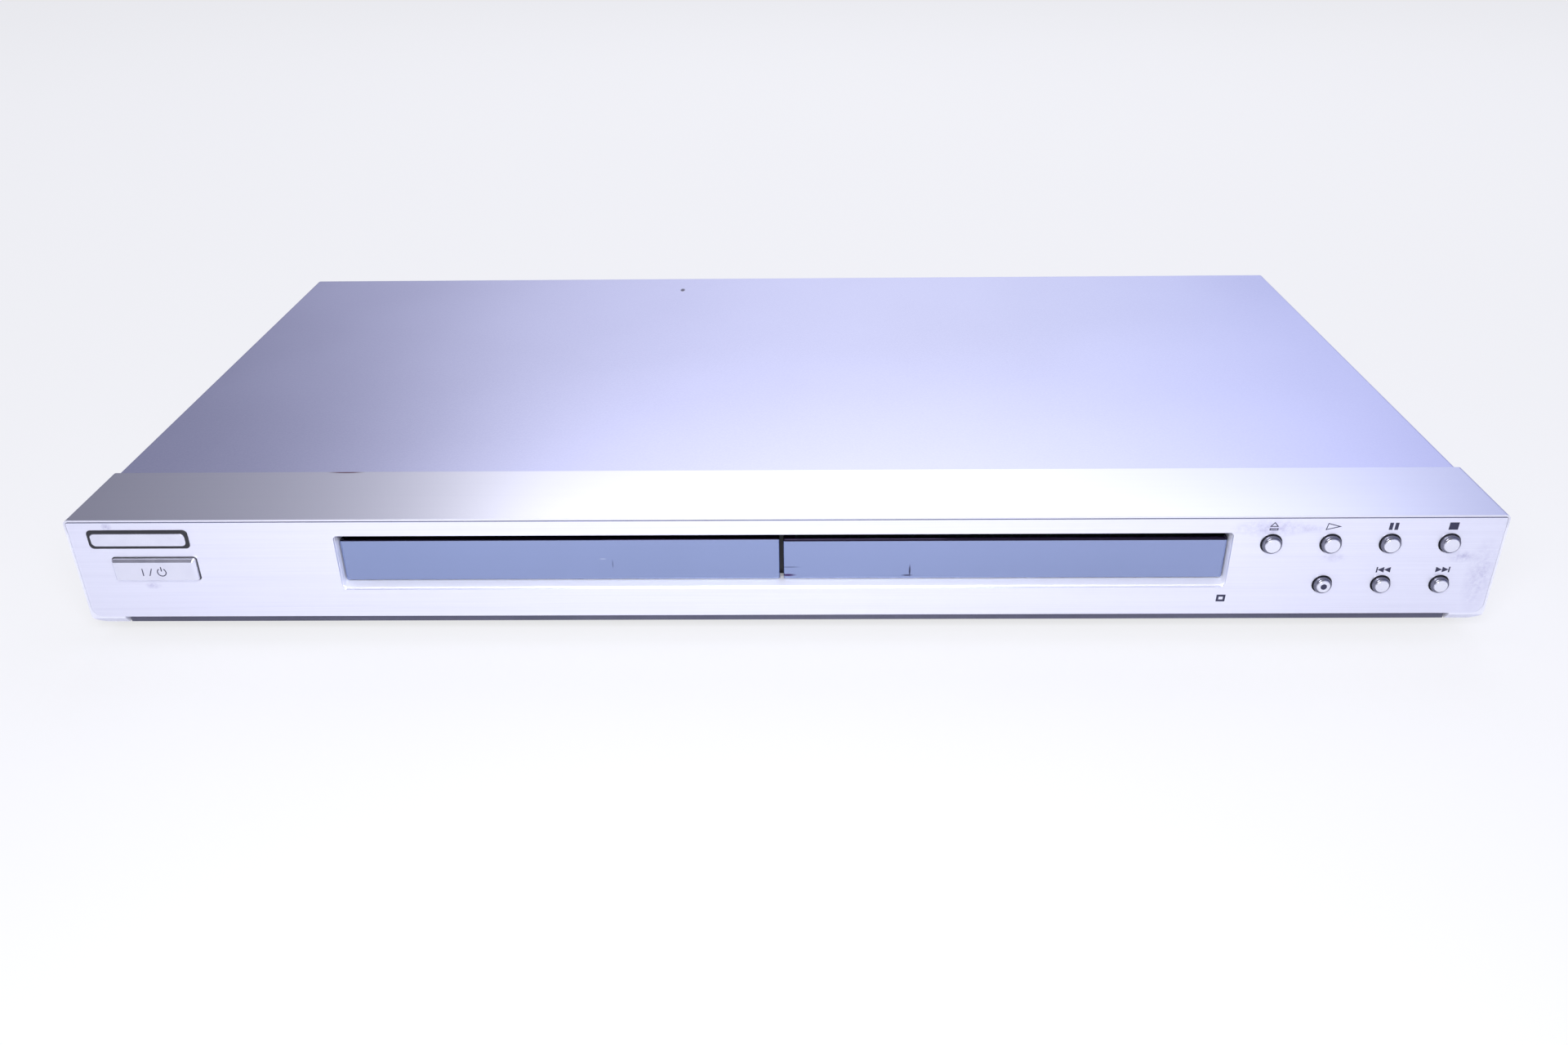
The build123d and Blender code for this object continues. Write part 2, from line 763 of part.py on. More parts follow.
with BuildPart() as feet:
    with BuildSketch(level(0)):
        with Locations(*[(x, behind(d)) for x in (-foot_x, foot_x) for d in foot_places]):
            Circle(foot_radius - foot_step)
    extrude(amount=foot_height)
    with BuildSketch(level(foot_lip)):
        with Locations(*[(x, behind(d)) for x in (-foot_x, foot_x) for d in foot_places]):
            Circle(foot_radius)
    extrude(amount=foot_height - foot_lip)
    fillet(feet.edges().group_by(Axis.Z)[0], foot_round)
save(feet, "feet")


# ================================================================ front
def face_outline(inset, low):
    """The front's outline, drawn in by inset, in the sketch that is open."""
    with Locations((0, case_height - inset)):
        Rectangle(case_width - 2 * inset, case_height - inset - low, align=(Align.CENTER, Align.MAX))


with BuildPart() as front_fascia:
    with BuildSketch(facing_front(fascia_depth)) as shell_outline:
        face_outline(0, foot_height)
        fillet(shell_outline.vertices().group_by(Axis.Y)[-1], top_corner)
        fillet(shell_outline.vertices().group_by(Axis.Y)[0], leg_corner)
    extrude(amount=fascia_depth)
    with BuildSketch(facing_front(fascia_depth)) as hollow:
        face_outline(fascia_wall, foot_height - leg_corner)
    extrude(amount=fascia_depth - wall_back, mode=Mode.SUBTRACT)
    with BuildSketch(facing_front(plate_thick)) as plate_bed:
        face_outline(fascia_rim, face_bottom)
        fillet(plate_bed.vertices().group_by(Axis.Y)[-1], top_corner - fascia_rim)
        fillet(plate_bed.vertices().group_by(Axis.Y)[0], leg_corner - fascia_rim)
    extrude(amount=plate_thick, mode=Mode.SUBTRACT)
    with BuildSketch(facing_front(fascia_depth)):
        with Locations((0, foot_height)):
            Rectangle(case_width - 2 * leg_width, face_bottom - foot_height, align=(Align.CENTER, Align.MIN))
    extrude(amount=fascia_depth, mode=Mode.SUBTRACT)
    with BuildSketch(Plane.YZ.offset(left_end)):
        with BuildLine():
            Polyline(
                (behind(0), face_bottom - fascia_rim),
                (behind(0), foot_height - overcut),
                (behind(leg_slope + overcut), foot_height - overcut),
                (behind(leg_slope), foot_height),
                (behind(0), face_bottom - fascia_rim),
            )
        make_face()
    extrude(amount=case_width, mode=Mode.SUBTRACT)
    with BuildSketch(facing_front(collar_back)) as collar:
        with Locations((0, (recess_bottom + recess_top) / 2)):
            Rectangle(2 * (recess_half + collar_wall), recess_top - recess_bottom + 2 * collar_wall)
    extrude(amount=collar_back - wall_back)
    with BuildSketch(facing_front(0)) as mouth:
        with Locations((0, (recess_bottom + recess_top) / 2)):
            RectangleRounded(2 * recess_half, recess_top - recess_bottom, recess_corner)
    with BuildSketch(facing_front(pane_back)) as throat:
        with Locations((0, (recess_bottom + recess_rise + recess_top) / 2)):
            RectangleRounded(
                2 * (recess_half - recess_side),
                recess_top - recess_bottom - recess_rise,
                recess_corner,
            )
    loft(ruled=True, mode=Mode.SUBTRACT)
    extrude(throat.sketch, amount=-(collar_back - pane_back), mode=Mode.SUBTRACT)
    with BuildSketch(facing_front(wall_back)):
        for radius, row in ((upper_hole, upper_buttons), (lower_hole, lower_buttons)):
            with Locations(*row.values()):
                Circle(radius)
        with Locations(power_centre):
            RectangleRounded(
                power_button[0] + 2 * button_gap,
                power_button[1] + 2 * button_gap,
                power_corner + button_gap,
            )
    extrude(amount=wall_back, mode=Mode.SUBTRACT)
    with BuildSketch(facing_front(board_back)):
        with Locations(*front_board_posts, *power_key_posts):
            Circle(front_post)
            Circle(front_screw_hole, mode=Mode.SUBTRACT)
    extrude(amount=board_back - wall_back)
    with BuildSketch(facing_front(collar_back)):
        with Locations(((recess_half + pane_split / 2) / 2, recess_bottom)):
            Rectangle(
                door_width - 2 * window_ledge_inset,
                pane_ledge_height,
                align=(Align.CENTER, Align.MIN),
            )
    extrude(amount=collar_back - pane_back - pane_thick - seat_gap)
save(front_fascia, "front_fascia")

with BuildPart() as face_plate:
    with BuildSketch(facing_front(plate_thick)) as plate_outline:
        face_outline(fascia_rim + seat_gap, face_bottom)
        fillet(plate_outline.vertices().group_by(Axis.Y)[-1], top_corner - fascia_rim)
        fillet(plate_outline.vertices().group_by(Axis.Y)[0], leg_corner - fascia_rim)
        with Locations((0, (recess_bottom + recess_top) / 2)):
            RectangleRounded(2 * recess_half, recess_top - recess_bottom, recess_corner, mode=Mode.SUBTRACT)
        for radius, row in ((upper_hole, upper_buttons), (lower_hole, lower_buttons)):
            with Locations(*row.values()):
                Circle(radius, mode=Mode.SUBTRACT)
        with Locations(power_centre):
            RectangleRounded(
                power_button[0] + 2 * button_gap,
                power_button[1] + 2 * button_gap,
                power_corner + button_gap,
                mode=Mode.SUBTRACT,
            )
    extrude(amount=plate_thick)
save(face_plate, "face_plate")


def pane(name, side):
    """A mirror pane of the recess: the tray's door on side -1, the display window on side 1."""
    with BuildPart() as made:
        with BuildSketch(facing_front(pane_back + pane_thick)):
            with Locations((side * (pane_split / 2 + door_width / 2), door_low + pane_height / 2)):
                RectangleRounded(door_width, pane_height, pane_corner)
        extrude(amount=pane_thick)
        chamfer(made.faces().sort_by(Axis.Y)[0].edges(), pane_bevel)
    save(made, name)


pane("tray_door", -1)
pane("display_window", 1)


def round_button(name, place, hole):
    """A round push button with a collar behind the wall and a stem to its switch."""
    base = hole - button_play
    collar = wall_back + slide_gap
    with BuildPart() as made:
        with BuildSketch(level(place[1])):
            with BuildLine():
                tip = behind(-button_proud)
                cap = Line((place[0], tip), (place[0] + base - button_round, tip))
                edge = RadiusArc(cap @ 1, (place[0] + base, tip + button_round), button_round)
                Polyline(
                    edge @ 1,
                    (place[0] + base, behind(collar)),
                    (place[0] + button_flange, behind(collar)),
                    (place[0] + button_flange, behind(collar + button_collar)),
                    (place[0] + button_stem, behind(collar + button_collar)),
                    (place[0] + button_stem, behind(stem_end)),
                    (place[0], behind(stem_end)),
                    cap @ 0,
                )
            make_face()
        revolve(axis=Axis((place[0], 0, place[1]), (0, 1, 0)))
    save(made, name)


for radius, row in ((upper_hole, upper_buttons), (lower_hole, lower_buttons)):
    for use, place in row.items():
        round_button(f"button_{use}", place, radius)

with BuildPart() as power_cap:
    with BuildSketch(facing_front(wall_back + slide_gap)):
        with Locations(power_centre):
            RectangleRounded(*power_button, power_corner)
    extrude(amount=wall_back + slide_gap + button_proud)
    chamfer(power_cap.faces().sort_by(Axis.Y)[0].edges(), power_bevel)
    with BuildSketch(facing_front(wall_back + slide_gap + button_collar)):
        with Locations(power_centre):
            Rectangle(power_button[0] + 2 * power_lip, power_button[1] + 2 * power_lip)
    extrude(amount=button_collar)
    with BuildSketch(facing_front(stem_end)):
        with Locations(power_centre):
            Circle(button_stem)
    extrude(amount=stem_end - wall_back - slide_gap - button_collar)
save(power_cap, "power_button")

# ---------------------------------------------------------------- front boards
with BuildPart() as front_boards:
    with BuildSketch(facing_front(board_back + board_thick)):
        with Locations((sum(front_board_x) / 2, sum(front_board_z) / 2)):
            Rectangle(front_board_x[1] - front_board_x[0], front_board_z[1] - front_board_z[0])
        with Locations(power_centre):
            Rectangle(*power_board_size)
        with Locations(*front_board_posts, *power_key_posts):
            Circle(front_screw_hole, mode=Mode.SUBTRACT)
    extrude(amount=board_thick)
save(front_boards, "front_boards")

with BuildPart() as push_switches:
    switch_places = [*upper_buttons.values(), *lower_buttons.values(), power_centre]
    with BuildSketch(facing_front(board_back)):
        with Locations(*switch_places):
            Rectangle(switch_body[0], switch_body[0])
    extrude(amount=switch_body[1])
    with BuildSketch(facing_front(board_back - switch_body[1])):
        with Locations(*switch_places):
            Circle(button_stem)
    extrude(amount=board_back - switch_body[1] - switch_tip)
save(push_switches, "push_switches")

with BuildPart() as display_tube:
    with BuildSketch(facing_front(board_back)):
        with Locations(display_centre):
            Rectangle(*display_size)
    extrude(amount=display_thick)
    chamfer(display_tube.faces().sort_by(Axis.Y)[0].edges(), display_bevel)
save(display_tube, "display_tube")

with BuildPart() as remote_sensor:
    with BuildSketch(facing_front(board_back)):
        with Locations((sensor_x, display_centre[1])):
            Rectangle(*sensor_size)
    extrude(amount=sensor_thick)
    with BuildSketch(facing_front(board_back - sensor_thick)):
        with Locations((sensor_x, display_centre[1])):
            Circle(sensor_lens[0])
    extrude(amount=sensor_lens[1], taper=sensor_lens_slope)
save(remote_sensor, "remote_sensor")

with BuildPart() as display_frame:
    with BuildSketch(facing_front(board_back)):
        with Locations((sum(display_frame_x) / 2, display_centre[1])):
            Rectangle(display_frame_x[1] - display_frame_x[0], display_frame_height)
        with Locations(display_centre):
            Rectangle(display_size[0] + 2 * seat_gap, display_size[1] + 2 * seat_gap, mode=Mode.SUBTRACT)
        with Locations((sensor_x, display_centre[1])):
            Rectangle(sensor_size[0] + 2 * seat_gap, sensor_size[1] + 2 * seat_gap, mode=Mode.SUBTRACT)
    extrude(amount=board_back - collar_back - slide_gap)
save(display_frame, "display_frame")


# ================================================================ power and signal
def board(name, x_range, back_range):
    """A bare circuit board on the chassis posts, with a screw hole over each post."""
    with BuildPart() as made:
        with BuildSketch(level(board_height)):
            with Locations((sum(x_range) / 2, behind(sum(back_range) / 2))):
                Rectangle(x_range[1] - x_range[0], back_range[1] - back_range[0])
            with Locations(*[
                (x, behind(d))
                for x in (x_range[0] + board_edge, x_range[1] - board_edge)
                for d in (back_range[0] + board_edge, back_range[1] - board_edge)
            ]):
                Circle(screw_shank + screw_play, mode=Mode.SUBTRACT)
        extrude(amount=board_thick)
    save(made, name)


board("power_board", power_board_x, power_board_back)
board("main_board", main_board_x, main_board_back)

with BuildPart() as power_transformer:
    with BuildSketch(level(board_top)):
        with Locations((left_end + transformer_place[0], behind(transformer_place[1]))):
            Rectangle(transformer_coil[0], transformer_coil[1])
    extrude(amount=transformer_coil[2])
    with BuildSketch(level(board_top + transformer_core_low)):
        with Locations((left_end + transformer_place[0], behind(transformer_place[1]))):
            Rectangle(transformer_core[0], transformer_core[1])
    extrude(amount=transformer_core[2])
    chamfer(power_transformer.edges().filter_by(Axis.Z).group_by(Axis.X)[0], transformer_corner)
save(power_transformer, "power_transformer")

with BuildPart() as power_capacitors:
    for x, d, radius, height in capacitors:
        with BuildSketch(level(board_top)):
            with Locations((left_end + x, behind(d))):
                Circle(radius)
        extrude(amount=height)
    fillet(power_capacitors.edges().filter_by(GeomType.CIRCLE).group_by(Axis.Z)[-1], capacitor_round)
save(power_capacitors, "power_capacitors")

with BuildPart() as power_heat_sink:
    with BuildSketch(level(board_top)):
        with Locations((left_end + sink_place[0], behind(sink_place[1]))):
            Rectangle(sink_wall, sink_size[1])
            with GridLocations(0, (sink_size[1] - sink_wall) / (sink_fins - 1), 1, sink_fins):
                Rectangle(sink_size[0], sink_wall, align=(Align.MIN, Align.CENTER))
    extrude(amount=sink_size[2])
save(power_heat_sink, "power_heat_sink")

with BuildPart() as mains_inlet:
    with BuildSketch(facing_front(panel_outer)):
        with Locations((inlet_x, inlet_height)):
            Rectangle(*inlet_body)
    extrude(amount=panel_outer - inlet_front)
    with BuildSketch(facing_front(panel_outer + inlet_flange)):
        with Locations((inlet_x, inlet_height)):
            RectangleRounded(inlet_body[0] + 2 * inlet_lip, inlet_body[1] + 2 * inlet_lip, inlet_lip)
    extrude(amount=inlet_flange)
    with BuildSketch(facing_front(panel_outer + inlet_flange)):
        with Locations((inlet_x, inlet_height)):
            SlotOverall(*inlet_cavity)
    extrude(amount=inlet_depth, mode=Mode.SUBTRACT)
    with BuildSketch(facing_front(panel_outer)):
        with Locations((inlet_x, inlet_height)):
            with GridLocations(inlet_pin_spacing, 0, 2, 1):
                Circle(inlet_pin + seat_gap)
    extrude(amount=panel_outer - inlet_front, mode=Mode.SUBTRACT)
save(mains_inlet, "mains_inlet")

with BuildPart() as inlet_pins:
    with BuildSketch(facing_front(panel_outer)):
        with Locations((inlet_x, inlet_height)):
            with GridLocations(inlet_pin_spacing, 0, 2, 1):
                Circle(inlet_pin)
    extrude(amount=panel_outer - inlet_front)
    fillet(inlet_pins.faces().group_by(Axis.Y)[-1].edges(), inlet_pin * 0.6)
save(inlet_pins, "inlet_pins")

jack_spots = [(x, jack_height) for x in jack_places]
with BuildPart() as phono_jack_block:
    with BuildSketch(facing_front(jack_block_back)):
        with Locations(((jack_places[0] + jack_places[-1]) / 2, board_top + jack_block_height / 2)):
            Rectangle(jack_pitch * (jack_count - 1) + jack_block_margin, jack_block_height)
        with Locations(*jack_spots):
            Circle(jack_pin_hole, mode=Mode.SUBTRACT)
    extrude(amount=jack_block_depth)
save(phono_jack_block, "phono_jack_block")

with BuildPart() as phono_jack_shells:
    with BuildSketch(facing_front(panel_outer + jack_reach)):
        with Locations(*jack_spots):
            Circle(jack_shell[0])
            Circle(jack_shell[1], mode=Mode.SUBTRACT)
    extrude(amount=jack_reach + panel_outer - jack_block_back)
    with BuildSketch(facing_front(panel_outer + jack_shoulder[1])):
        with Locations(*jack_spots):
            Circle(jack_shell[0] + jack_shoulder[0])
            Circle(jack_shell[1], mode=Mode.SUBTRACT)
    extrude(amount=jack_shoulder[1] + panel_outer - jack_block_back)
save(phono_jack_shells, "phono_jack_shells")

with BuildPart() as phono_jack_inserts:
    with BuildSketch(facing_front(panel_outer + jack_reach - jack_insert_drop)):
        with Locations(*jack_spots):
            Circle(jack_shell[1] - seat_gap)
            Circle(jack_pin_hole, mode=Mode.SUBTRACT)
    extrude(amount=jack_reach - jack_insert_drop + panel_outer - jack_block_back)
save(phono_jack_inserts, "phono_jack_inserts")

with BuildPart() as video_socket:
    with BuildSketch(facing_front(jack_block_back)):
        with Locations((video_x, board_top + jack_block_height / 2)):
            Rectangle(video_body, jack_block_height)
    extrude(amount=jack_block_depth)
    with BuildSketch(facing_front(panel_outer + video_reach)):
        with Locations((video_x, jack_height)):
            Circle(video_radius)
            Circle(video_radius - video_wall, mode=Mode.SUBTRACT)
    extrude(amount=video_reach + panel_outer - jack_block_back)
    with BuildSketch(facing_front(jack_block_back)):
        with Locations((video_x, jack_height)):
            with PolarLocations(video_holes[0], 4, start_angle=video_hole_turn):
                Circle(video_holes[1])
            Rectangle(*video_key)
    extrude(amount=video_reach, mode=Mode.SUBTRACT)
save(video_socket, "video_socket")

with BuildPart() as main_chips:
    for x, d, wide, deep, tall in chips:
        with BuildSketch(level(board_top)):
            with Locations((right_end - x, behind(d))):
                Rectangle(wide, deep)
        extrude(amount=tall)
save(main_chips, "main_chips")

with BuildPart() as flat_cable:
    with BuildSketch(Plane.YZ.offset(cable_x - cable_width / 2)):
        with BuildLine() as cable_path:
            FilletPolyline(*[(behind(d), z) for d, z in cable_points], radius=cable_bend)
        trace(line_width=cable_thick)
    extrude(amount=cable_width)
save(flat_cable, "flat_cable")

with BuildPart() as cable_sockets:
    with BuildSketch(level(board_top)):
        with Locations((cable_x, behind(cable_points[-1][0]))):
            Rectangle(cable_width + 2 * cable_socket_side, cable_socket[0], align=(Align.CENTER, Align.MIN))
    extrude(amount=cable_socket[1])
    with BuildSketch(facing_front(board_back + board_thick + cable_socket[1])):
        with Locations((cable_x, cable_points[0][1] + cable_socket[0] / 2)):
            Rectangle(cable_width + 2 * cable_socket_side, cable_socket[0])
    extrude(amount=cable_socket[1])
save(cable_sockets, "cable_sockets")

# ================================================================ loader frame
ear_spots = [(disc_x + x, behind(d)) for x in loader_screw_x for d in loader_screws]
with BuildPart() as loader_base:
    with BuildSketch(level(loader_low)):
        with Locations((disc_x, behind(loader_front))):
            Rectangle(2 * loader_half, loader_back - loader_front, align=(Align.CENTER, Align.MIN))
        with Locations((disc_x, behind(lift_opening[0]))):
            Rectangle(
                2 * lift_opening_half,
                lift_opening[1] - lift_opening[0],
                align=(Align.CENTER, Align.MIN),
                mode=Mode.SUBTRACT,
            )
    extrude(amount=loader_floor_thick)
    with BuildSketch(level(loader_low)):
        for side in (-1, 1):
            with Locations((disc_x + side * (loader_half - loader_wall / 2), behind(loader_front))):
                Rectangle(loader_wall, loader_back - loader_front, align=(Align.CENTER, Align.MIN))
        with Locations((disc_x, behind(loader_back))):
            Rectangle(2 * loader_half, loader_wall, align=(Align.CENTER, Align.MAX))
    extrude(amount=loader_top - loader_low)
    with BuildSketch(level(loader_low)):
        with Locations(*ear_spots):
            Rectangle(2 * ear_half, 2 * ear_half)
            Circle(screw_shank + screw_play, mode=Mode.SUBTRACT)
    extrude(amount=ear_top - loader_low)
    with BuildSketch(level(rail_top - rail_thick)):
        for side in (-1, 1):
            with Locations((disc_x + side * (loader_half - loader_wall), behind(loader_front))):
                Rectangle(
                    rail_reach,
                    loader_back - loader_front,
                    align=(Align.MAX if side > 0 else Align.MIN, Align.MIN),
                )
    extrude(amount=rail_thick)
    with BuildSketch(level(tray_top + slide_gap)):
        for side in (-1, 1):
            for d in tab_places:
                with Locations((disc_x + side * (loader_half - loader_wall), behind(d))):
                    Rectangle(
                        rail_reach,
                        tab_length,
                        align=(Align.MAX if side > 0 else Align.MIN, Align.MIN),
                    )
    extrude(amount=tab_thick)
    with BuildSketch(level(loader_floor)):
        for side in (-1, 1):
            with Locations((disc_x + side * lift_opening_half, behind(pivot_back))):
                Rectangle(
                    pivot_post,
                    pivot_post_depth,
                    align=(Align.MIN if side > 0 else Align.MAX, Align.CENTER),
                )
    extrude(amount=pivot_height + pivot_radius + pivot_crown - loader_floor)
    with Locations(Location((disc_x, behind(pivot_back), pivot_height), (0, 90, 0))):
        Cylinder(pivot_radius + axle_play, 2 * pivot_reach, mode=Mode.SUBTRACT)
    with BuildSketch(level(loader_floor)):
        for d in (cam_back - slide_gap - guide_rib, cam_back + cam_thick + slide_gap):
            with Locations((disc_x - cam_guide_start, behind(d))):
                Rectangle(
                    cam_guide_start + loader_half - loader_wall,
                    guide_rib,
                    align=(Align.MIN, Align.MIN),
                )
    extrude(amount=guide_height)
    for x, y, radius in ((drive_x, drive_y, drive_axle), (wheel_x, drive_y, wheel_axle)):
        with BuildSketch(level(loader_floor)):
            with Locations((x, y)):
                Circle(radius + axle_seat)
        extrude(amount=gear_low - slide_gap - loader_floor)
        with BuildSketch(level(loader_floor)):
            with Locations((x, y)):
                Circle(radius)
        extrude(amount=belt_high - loader_floor)
    with BuildSketch(level(loader_floor)):
        for side in (-1, 1):
            with Locations((motor_x + side * (motor_radius + shelf_leg), drive_y)):
                Rectangle(shelf_leg, 2 * motor_radius)
    extrude(amount=shelf_top - loader_floor)
    with BuildSketch(level(shelf_top - shelf_thick)):
        with Locations((motor_x, drive_y)):
            Rectangle(2 * motor_radius + 3 * shelf_leg, 2 * motor_radius)
            Circle(motor_boss + seat_gap, mode=Mode.SUBTRACT)
    extrude(amount=shelf_thick)
    with BuildSketch(level(loader_top - bridge_boss_height)):
        with Locations(*bridge_bosses):
            Circle(bridge_boss)
    extrude(amount=bridge_boss_height)
    with BuildSketch(level(loader_top)):
        with Locations(*bridge_bosses):
            Circle(screw_shank + screw_play)
    extrude(amount=-bridge_boss_height, mode=Mode.SUBTRACT)
save(loader_base, "loader_base")

with BuildPart() as clamp_bridge:
    with BuildSketch(level(loader_top)) as bridge_outline:
        with Locations((disc_x, disc_y)):
            Rectangle(2 * (loader_half + bridge_overhang), bridge_width)
            Circle(clamper_neck + clamper_play, mode=Mode.SUBTRACT)
        with Locations(*bridge_bosses):
            Circle(screw_shank + screw_play, mode=Mode.SUBTRACT)
    extrude(amount=bridge_thick)
    with BuildSketch(level(loader_top)):
        with Locations((disc_x, disc_y)):
            with GridLocations(0, bridge_width - sheet, 1, 2):
                Rectangle(2 * (loader_half - loader_wall - bridge_rim_gap), sheet)
    extrude(amount=bridge_thick + bridge_rim)
save(clamp_bridge, "clamp_bridge")

with BuildPart() as inner_screws:
    with Locations(*[(x, y, loader_top + bridge_thick) for x, y in bridge_bosses]):
        add(pan_screw)
    with Locations(*[(x, y, ear_top) for x, y in ear_spots]):
        add(pan_screw)
    with Locations(*[(x, behind(d), board_top) for x, d in board_corners]):
        add(pan_screw)
    with Locations(*[
        Location((x, behind(board_back + board_thick), z), (-90, 0, 0))
        for x, z in (*front_board_posts, *power_key_posts)
    ]):
        add(pan_screw)
save(inner_screws, "inner_screws")

with BuildPart() as clamper:
    clamper_profile = [
        (0, clamper_low + clamper_hollow),
        (hub_radius + clamper_play, clamper_low + clamper_hollow),
        (hub_radius + clamper_play, clamper_low),
        (clamper_radius, clamper_low),
        (clamper_radius, clamper_low + clamper_rim),
        (clamper_neck, loader_top - slide_gap),
        (clamper_neck, cap_low),
        (clamper_cap, cap_low),
        (clamper_cap, cap_low + clamper_cap_thick),
        (0, cap_low + clamper_cap_thick),
    ]
    with BuildSketch(Plane.XZ.offset(-disc_y)):
        with BuildLine():
            Polyline(*[(disc_x + r, z) for r, z in clamper_profile], close=True)
        make_face()
    revolve(axis=Axis((disc_x, disc_y, 0), (0, 0, 1)))
save(clamper, "clamper")

# ================================================================ disc tray
with BuildPart() as tray:
    with BuildSketch(level(tray_under)):
        with Locations((disc_x, behind(tray_start))):
            Rectangle(2 * tray_half, tray_plate_end - tray_start, align=(Align.CENTER, Align.MIN))
    extrude(amount=tray_thick)
    with BuildSketch(level(tray_under)):
        for side in (-1, 1):
            with Locations((disc_x + side * tray_half, behind(tray_plate_end))):
                Rectangle(
                    tray_arm,
                    tray_arm_end - tray_plate_end,
                    align=(Align.MAX if side > 0 else Align.MIN, Align.MIN),
                )
    extrude(amount=tray_arm_thick)
    with BuildSketch(level(well_floor)):
        with Locations((disc_x, disc_y)):
            Circle(well_radius)
    extrude(amount=well_depth, mode=Mode.SUBTRACT)
    with BuildSketch(level(tray_top - small_well_depth)):
        with Locations((disc_x, disc_y)):
            Circle(small_well_radius)
        with Locations((disc_x, disc_y - well_radius)):
            Circle(thumb_radius)
    extrude(amount=small_well_depth, mode=Mode.SUBTRACT)
    with BuildSketch(level(tray_under)):
        with Locations((disc_x, disc_y)):
            Circle(tray_slot_half - tray_slot_ease)
            Rectangle(
                2 * (tray_slot_half - tray_slot_ease),
                tray_plate_end - disc_back,
                align=(Align.CENTER, Align.MIN),
            )
        with Locations((disc_x, behind(slot_wide_start))):
            Rectangle(
                2 * tray_slot_half,
                tray_plate_end - slot_wide_start,
                align=(Align.CENTER, Align.MIN),
            )
    extrude(amount=tray_top - tray_under, mode=Mode.SUBTRACT)
    with BuildSketch(facing_front(tray_start + tray_front_wall)):
        with Locations((disc_x, tray_under + tray_front_z[0])):
            Rectangle(2 * tray_half, tray_front_z[1] - tray_front_z[0], align=(Align.CENTER, Align.MIN))
    extrude(amount=tray_front_wall)
    with BuildSketch(level(tray_under - tray_rib)):
        for side in (-1, 1):
            with Locations(
                (disc_x + side * (tray_half - tray_rib_inset), behind(tray_start + tray_front_wall))
            ):
                Rectangle(
                    tray_rib,
                    tray_arm_end - tray_start - tray_front_wall,
                    align=(Align.CENTER, Align.MIN),
                )
    extrude(amount=tray_rib)
    with BuildSketch(level(rack_low).shift_origin((rack_x, 0, rack_low))):
        rack_teeth(rack_module, behind(rack_start), behind(rack_end), drive_y, -1)
        with Locations((rack_module * tooth_depth, behind(rack_start))):
            Rectangle(rack_body, rack_end - rack_start, align=(Align.MIN, Align.MIN))
    extrude(amount=tray_under - rack_low)
save(tray, "tray")

# ---------------------------------------------------------------- loading drive
with BuildPart() as loading_motor:
    with BuildSketch(level(loader_floor + slide_gap)):
        with Locations((motor_x, drive_y)):
            Circle(motor_radius)
            with GridLocations(2 * motor_radius, 0, 2, 1):
                Rectangle(2 * motor_flat, 2 * motor_radius, mode=Mode.SUBTRACT)
    extrude(amount=shelf_top - shelf_thick - loader_floor - slide_gap)
    with BuildSketch(level(shelf_top - shelf_thick)):
        with Locations((motor_x, drive_y)):
            Circle(motor_boss)
    extrude(amount=shelf_thick)
    with BuildSketch(level(loader_floor + slide_gap + motor_end)):
        with Locations((motor_x, drive_y)):
            Circle(motor_shaft + axle_play)
    extrude(amount=shelf_top - loader_floor, mode=Mode.SUBTRACT)
save(loading_motor, "loading_motor")

with BuildPart() as motor_pulley:
    with BuildSketch(level(loader_floor + slide_gap + motor_end + shaft_gap)):
        with Locations((motor_x, drive_y)):
            Circle(motor_shaft)
    extrude(amount=belt_low - loader_floor)
    pulley_profile = [
        (0, belt_low),
        (belt_pulley + belt_flange, belt_low),
        (belt_pulley, belt_middle - belt_size / 2 - seat_gap),
        (belt_pulley, belt_middle + belt_size / 2 + seat_gap),
        (belt_pulley + belt_flange, belt_high),
        (0, belt_high),
    ]
    with BuildSketch(Plane.XZ.offset(-drive_y)):
        with BuildLine():
            Polyline(*[(motor_x + r, z) for r, z in pulley_profile], close=True)
        make_face()
    revolve(axis=Axis((motor_x, drive_y, 0), (0, 0, 1)))
save(motor_pulley, "motor_pulley")

with BuildPart() as belt_wheel_part:
    with BuildSketch(level(gear_low)):
        with Locations((wheel_x, drive_y)):
            gear_face(pinion_teeth, gear_module)
    extrude(amount=wheel_high - gear_low)
    with BuildSketch(level(wheel_high)):
        with Locations((wheel_x, drive_y)):
            Circle(gear_module * pinion_teeth / 2 - gear_module)
    extrude(amount=belt_low - wheel_high)
    wheel_profile = [
        (0, belt_low),
        (belt_wheel + belt_flange, belt_low),
        (belt_wheel, belt_middle - belt_size / 2 - seat_gap),
        (belt_wheel, belt_middle + belt_size / 2 + seat_gap),
        (belt_wheel + belt_flange, belt_high),
        (0, belt_high),
    ]
    with BuildSketch(Plane.XZ.offset(-drive_y)):
        with BuildLine():
            Polyline(*[(wheel_x + r, z) for r, z in wheel_profile], close=True)
        make_face()
    revolve(axis=Axis((wheel_x, drive_y, 0), (0, 0, 1)))
    with BuildSketch(level(gear_low)):
        with Locations((wheel_x, drive_y)):
            Circle(wheel_axle + axle_play)
    extrude(amount=belt_high - gear_low, mode=Mode.SUBTRACT)
save(belt_wheel_part, "belt_wheel")

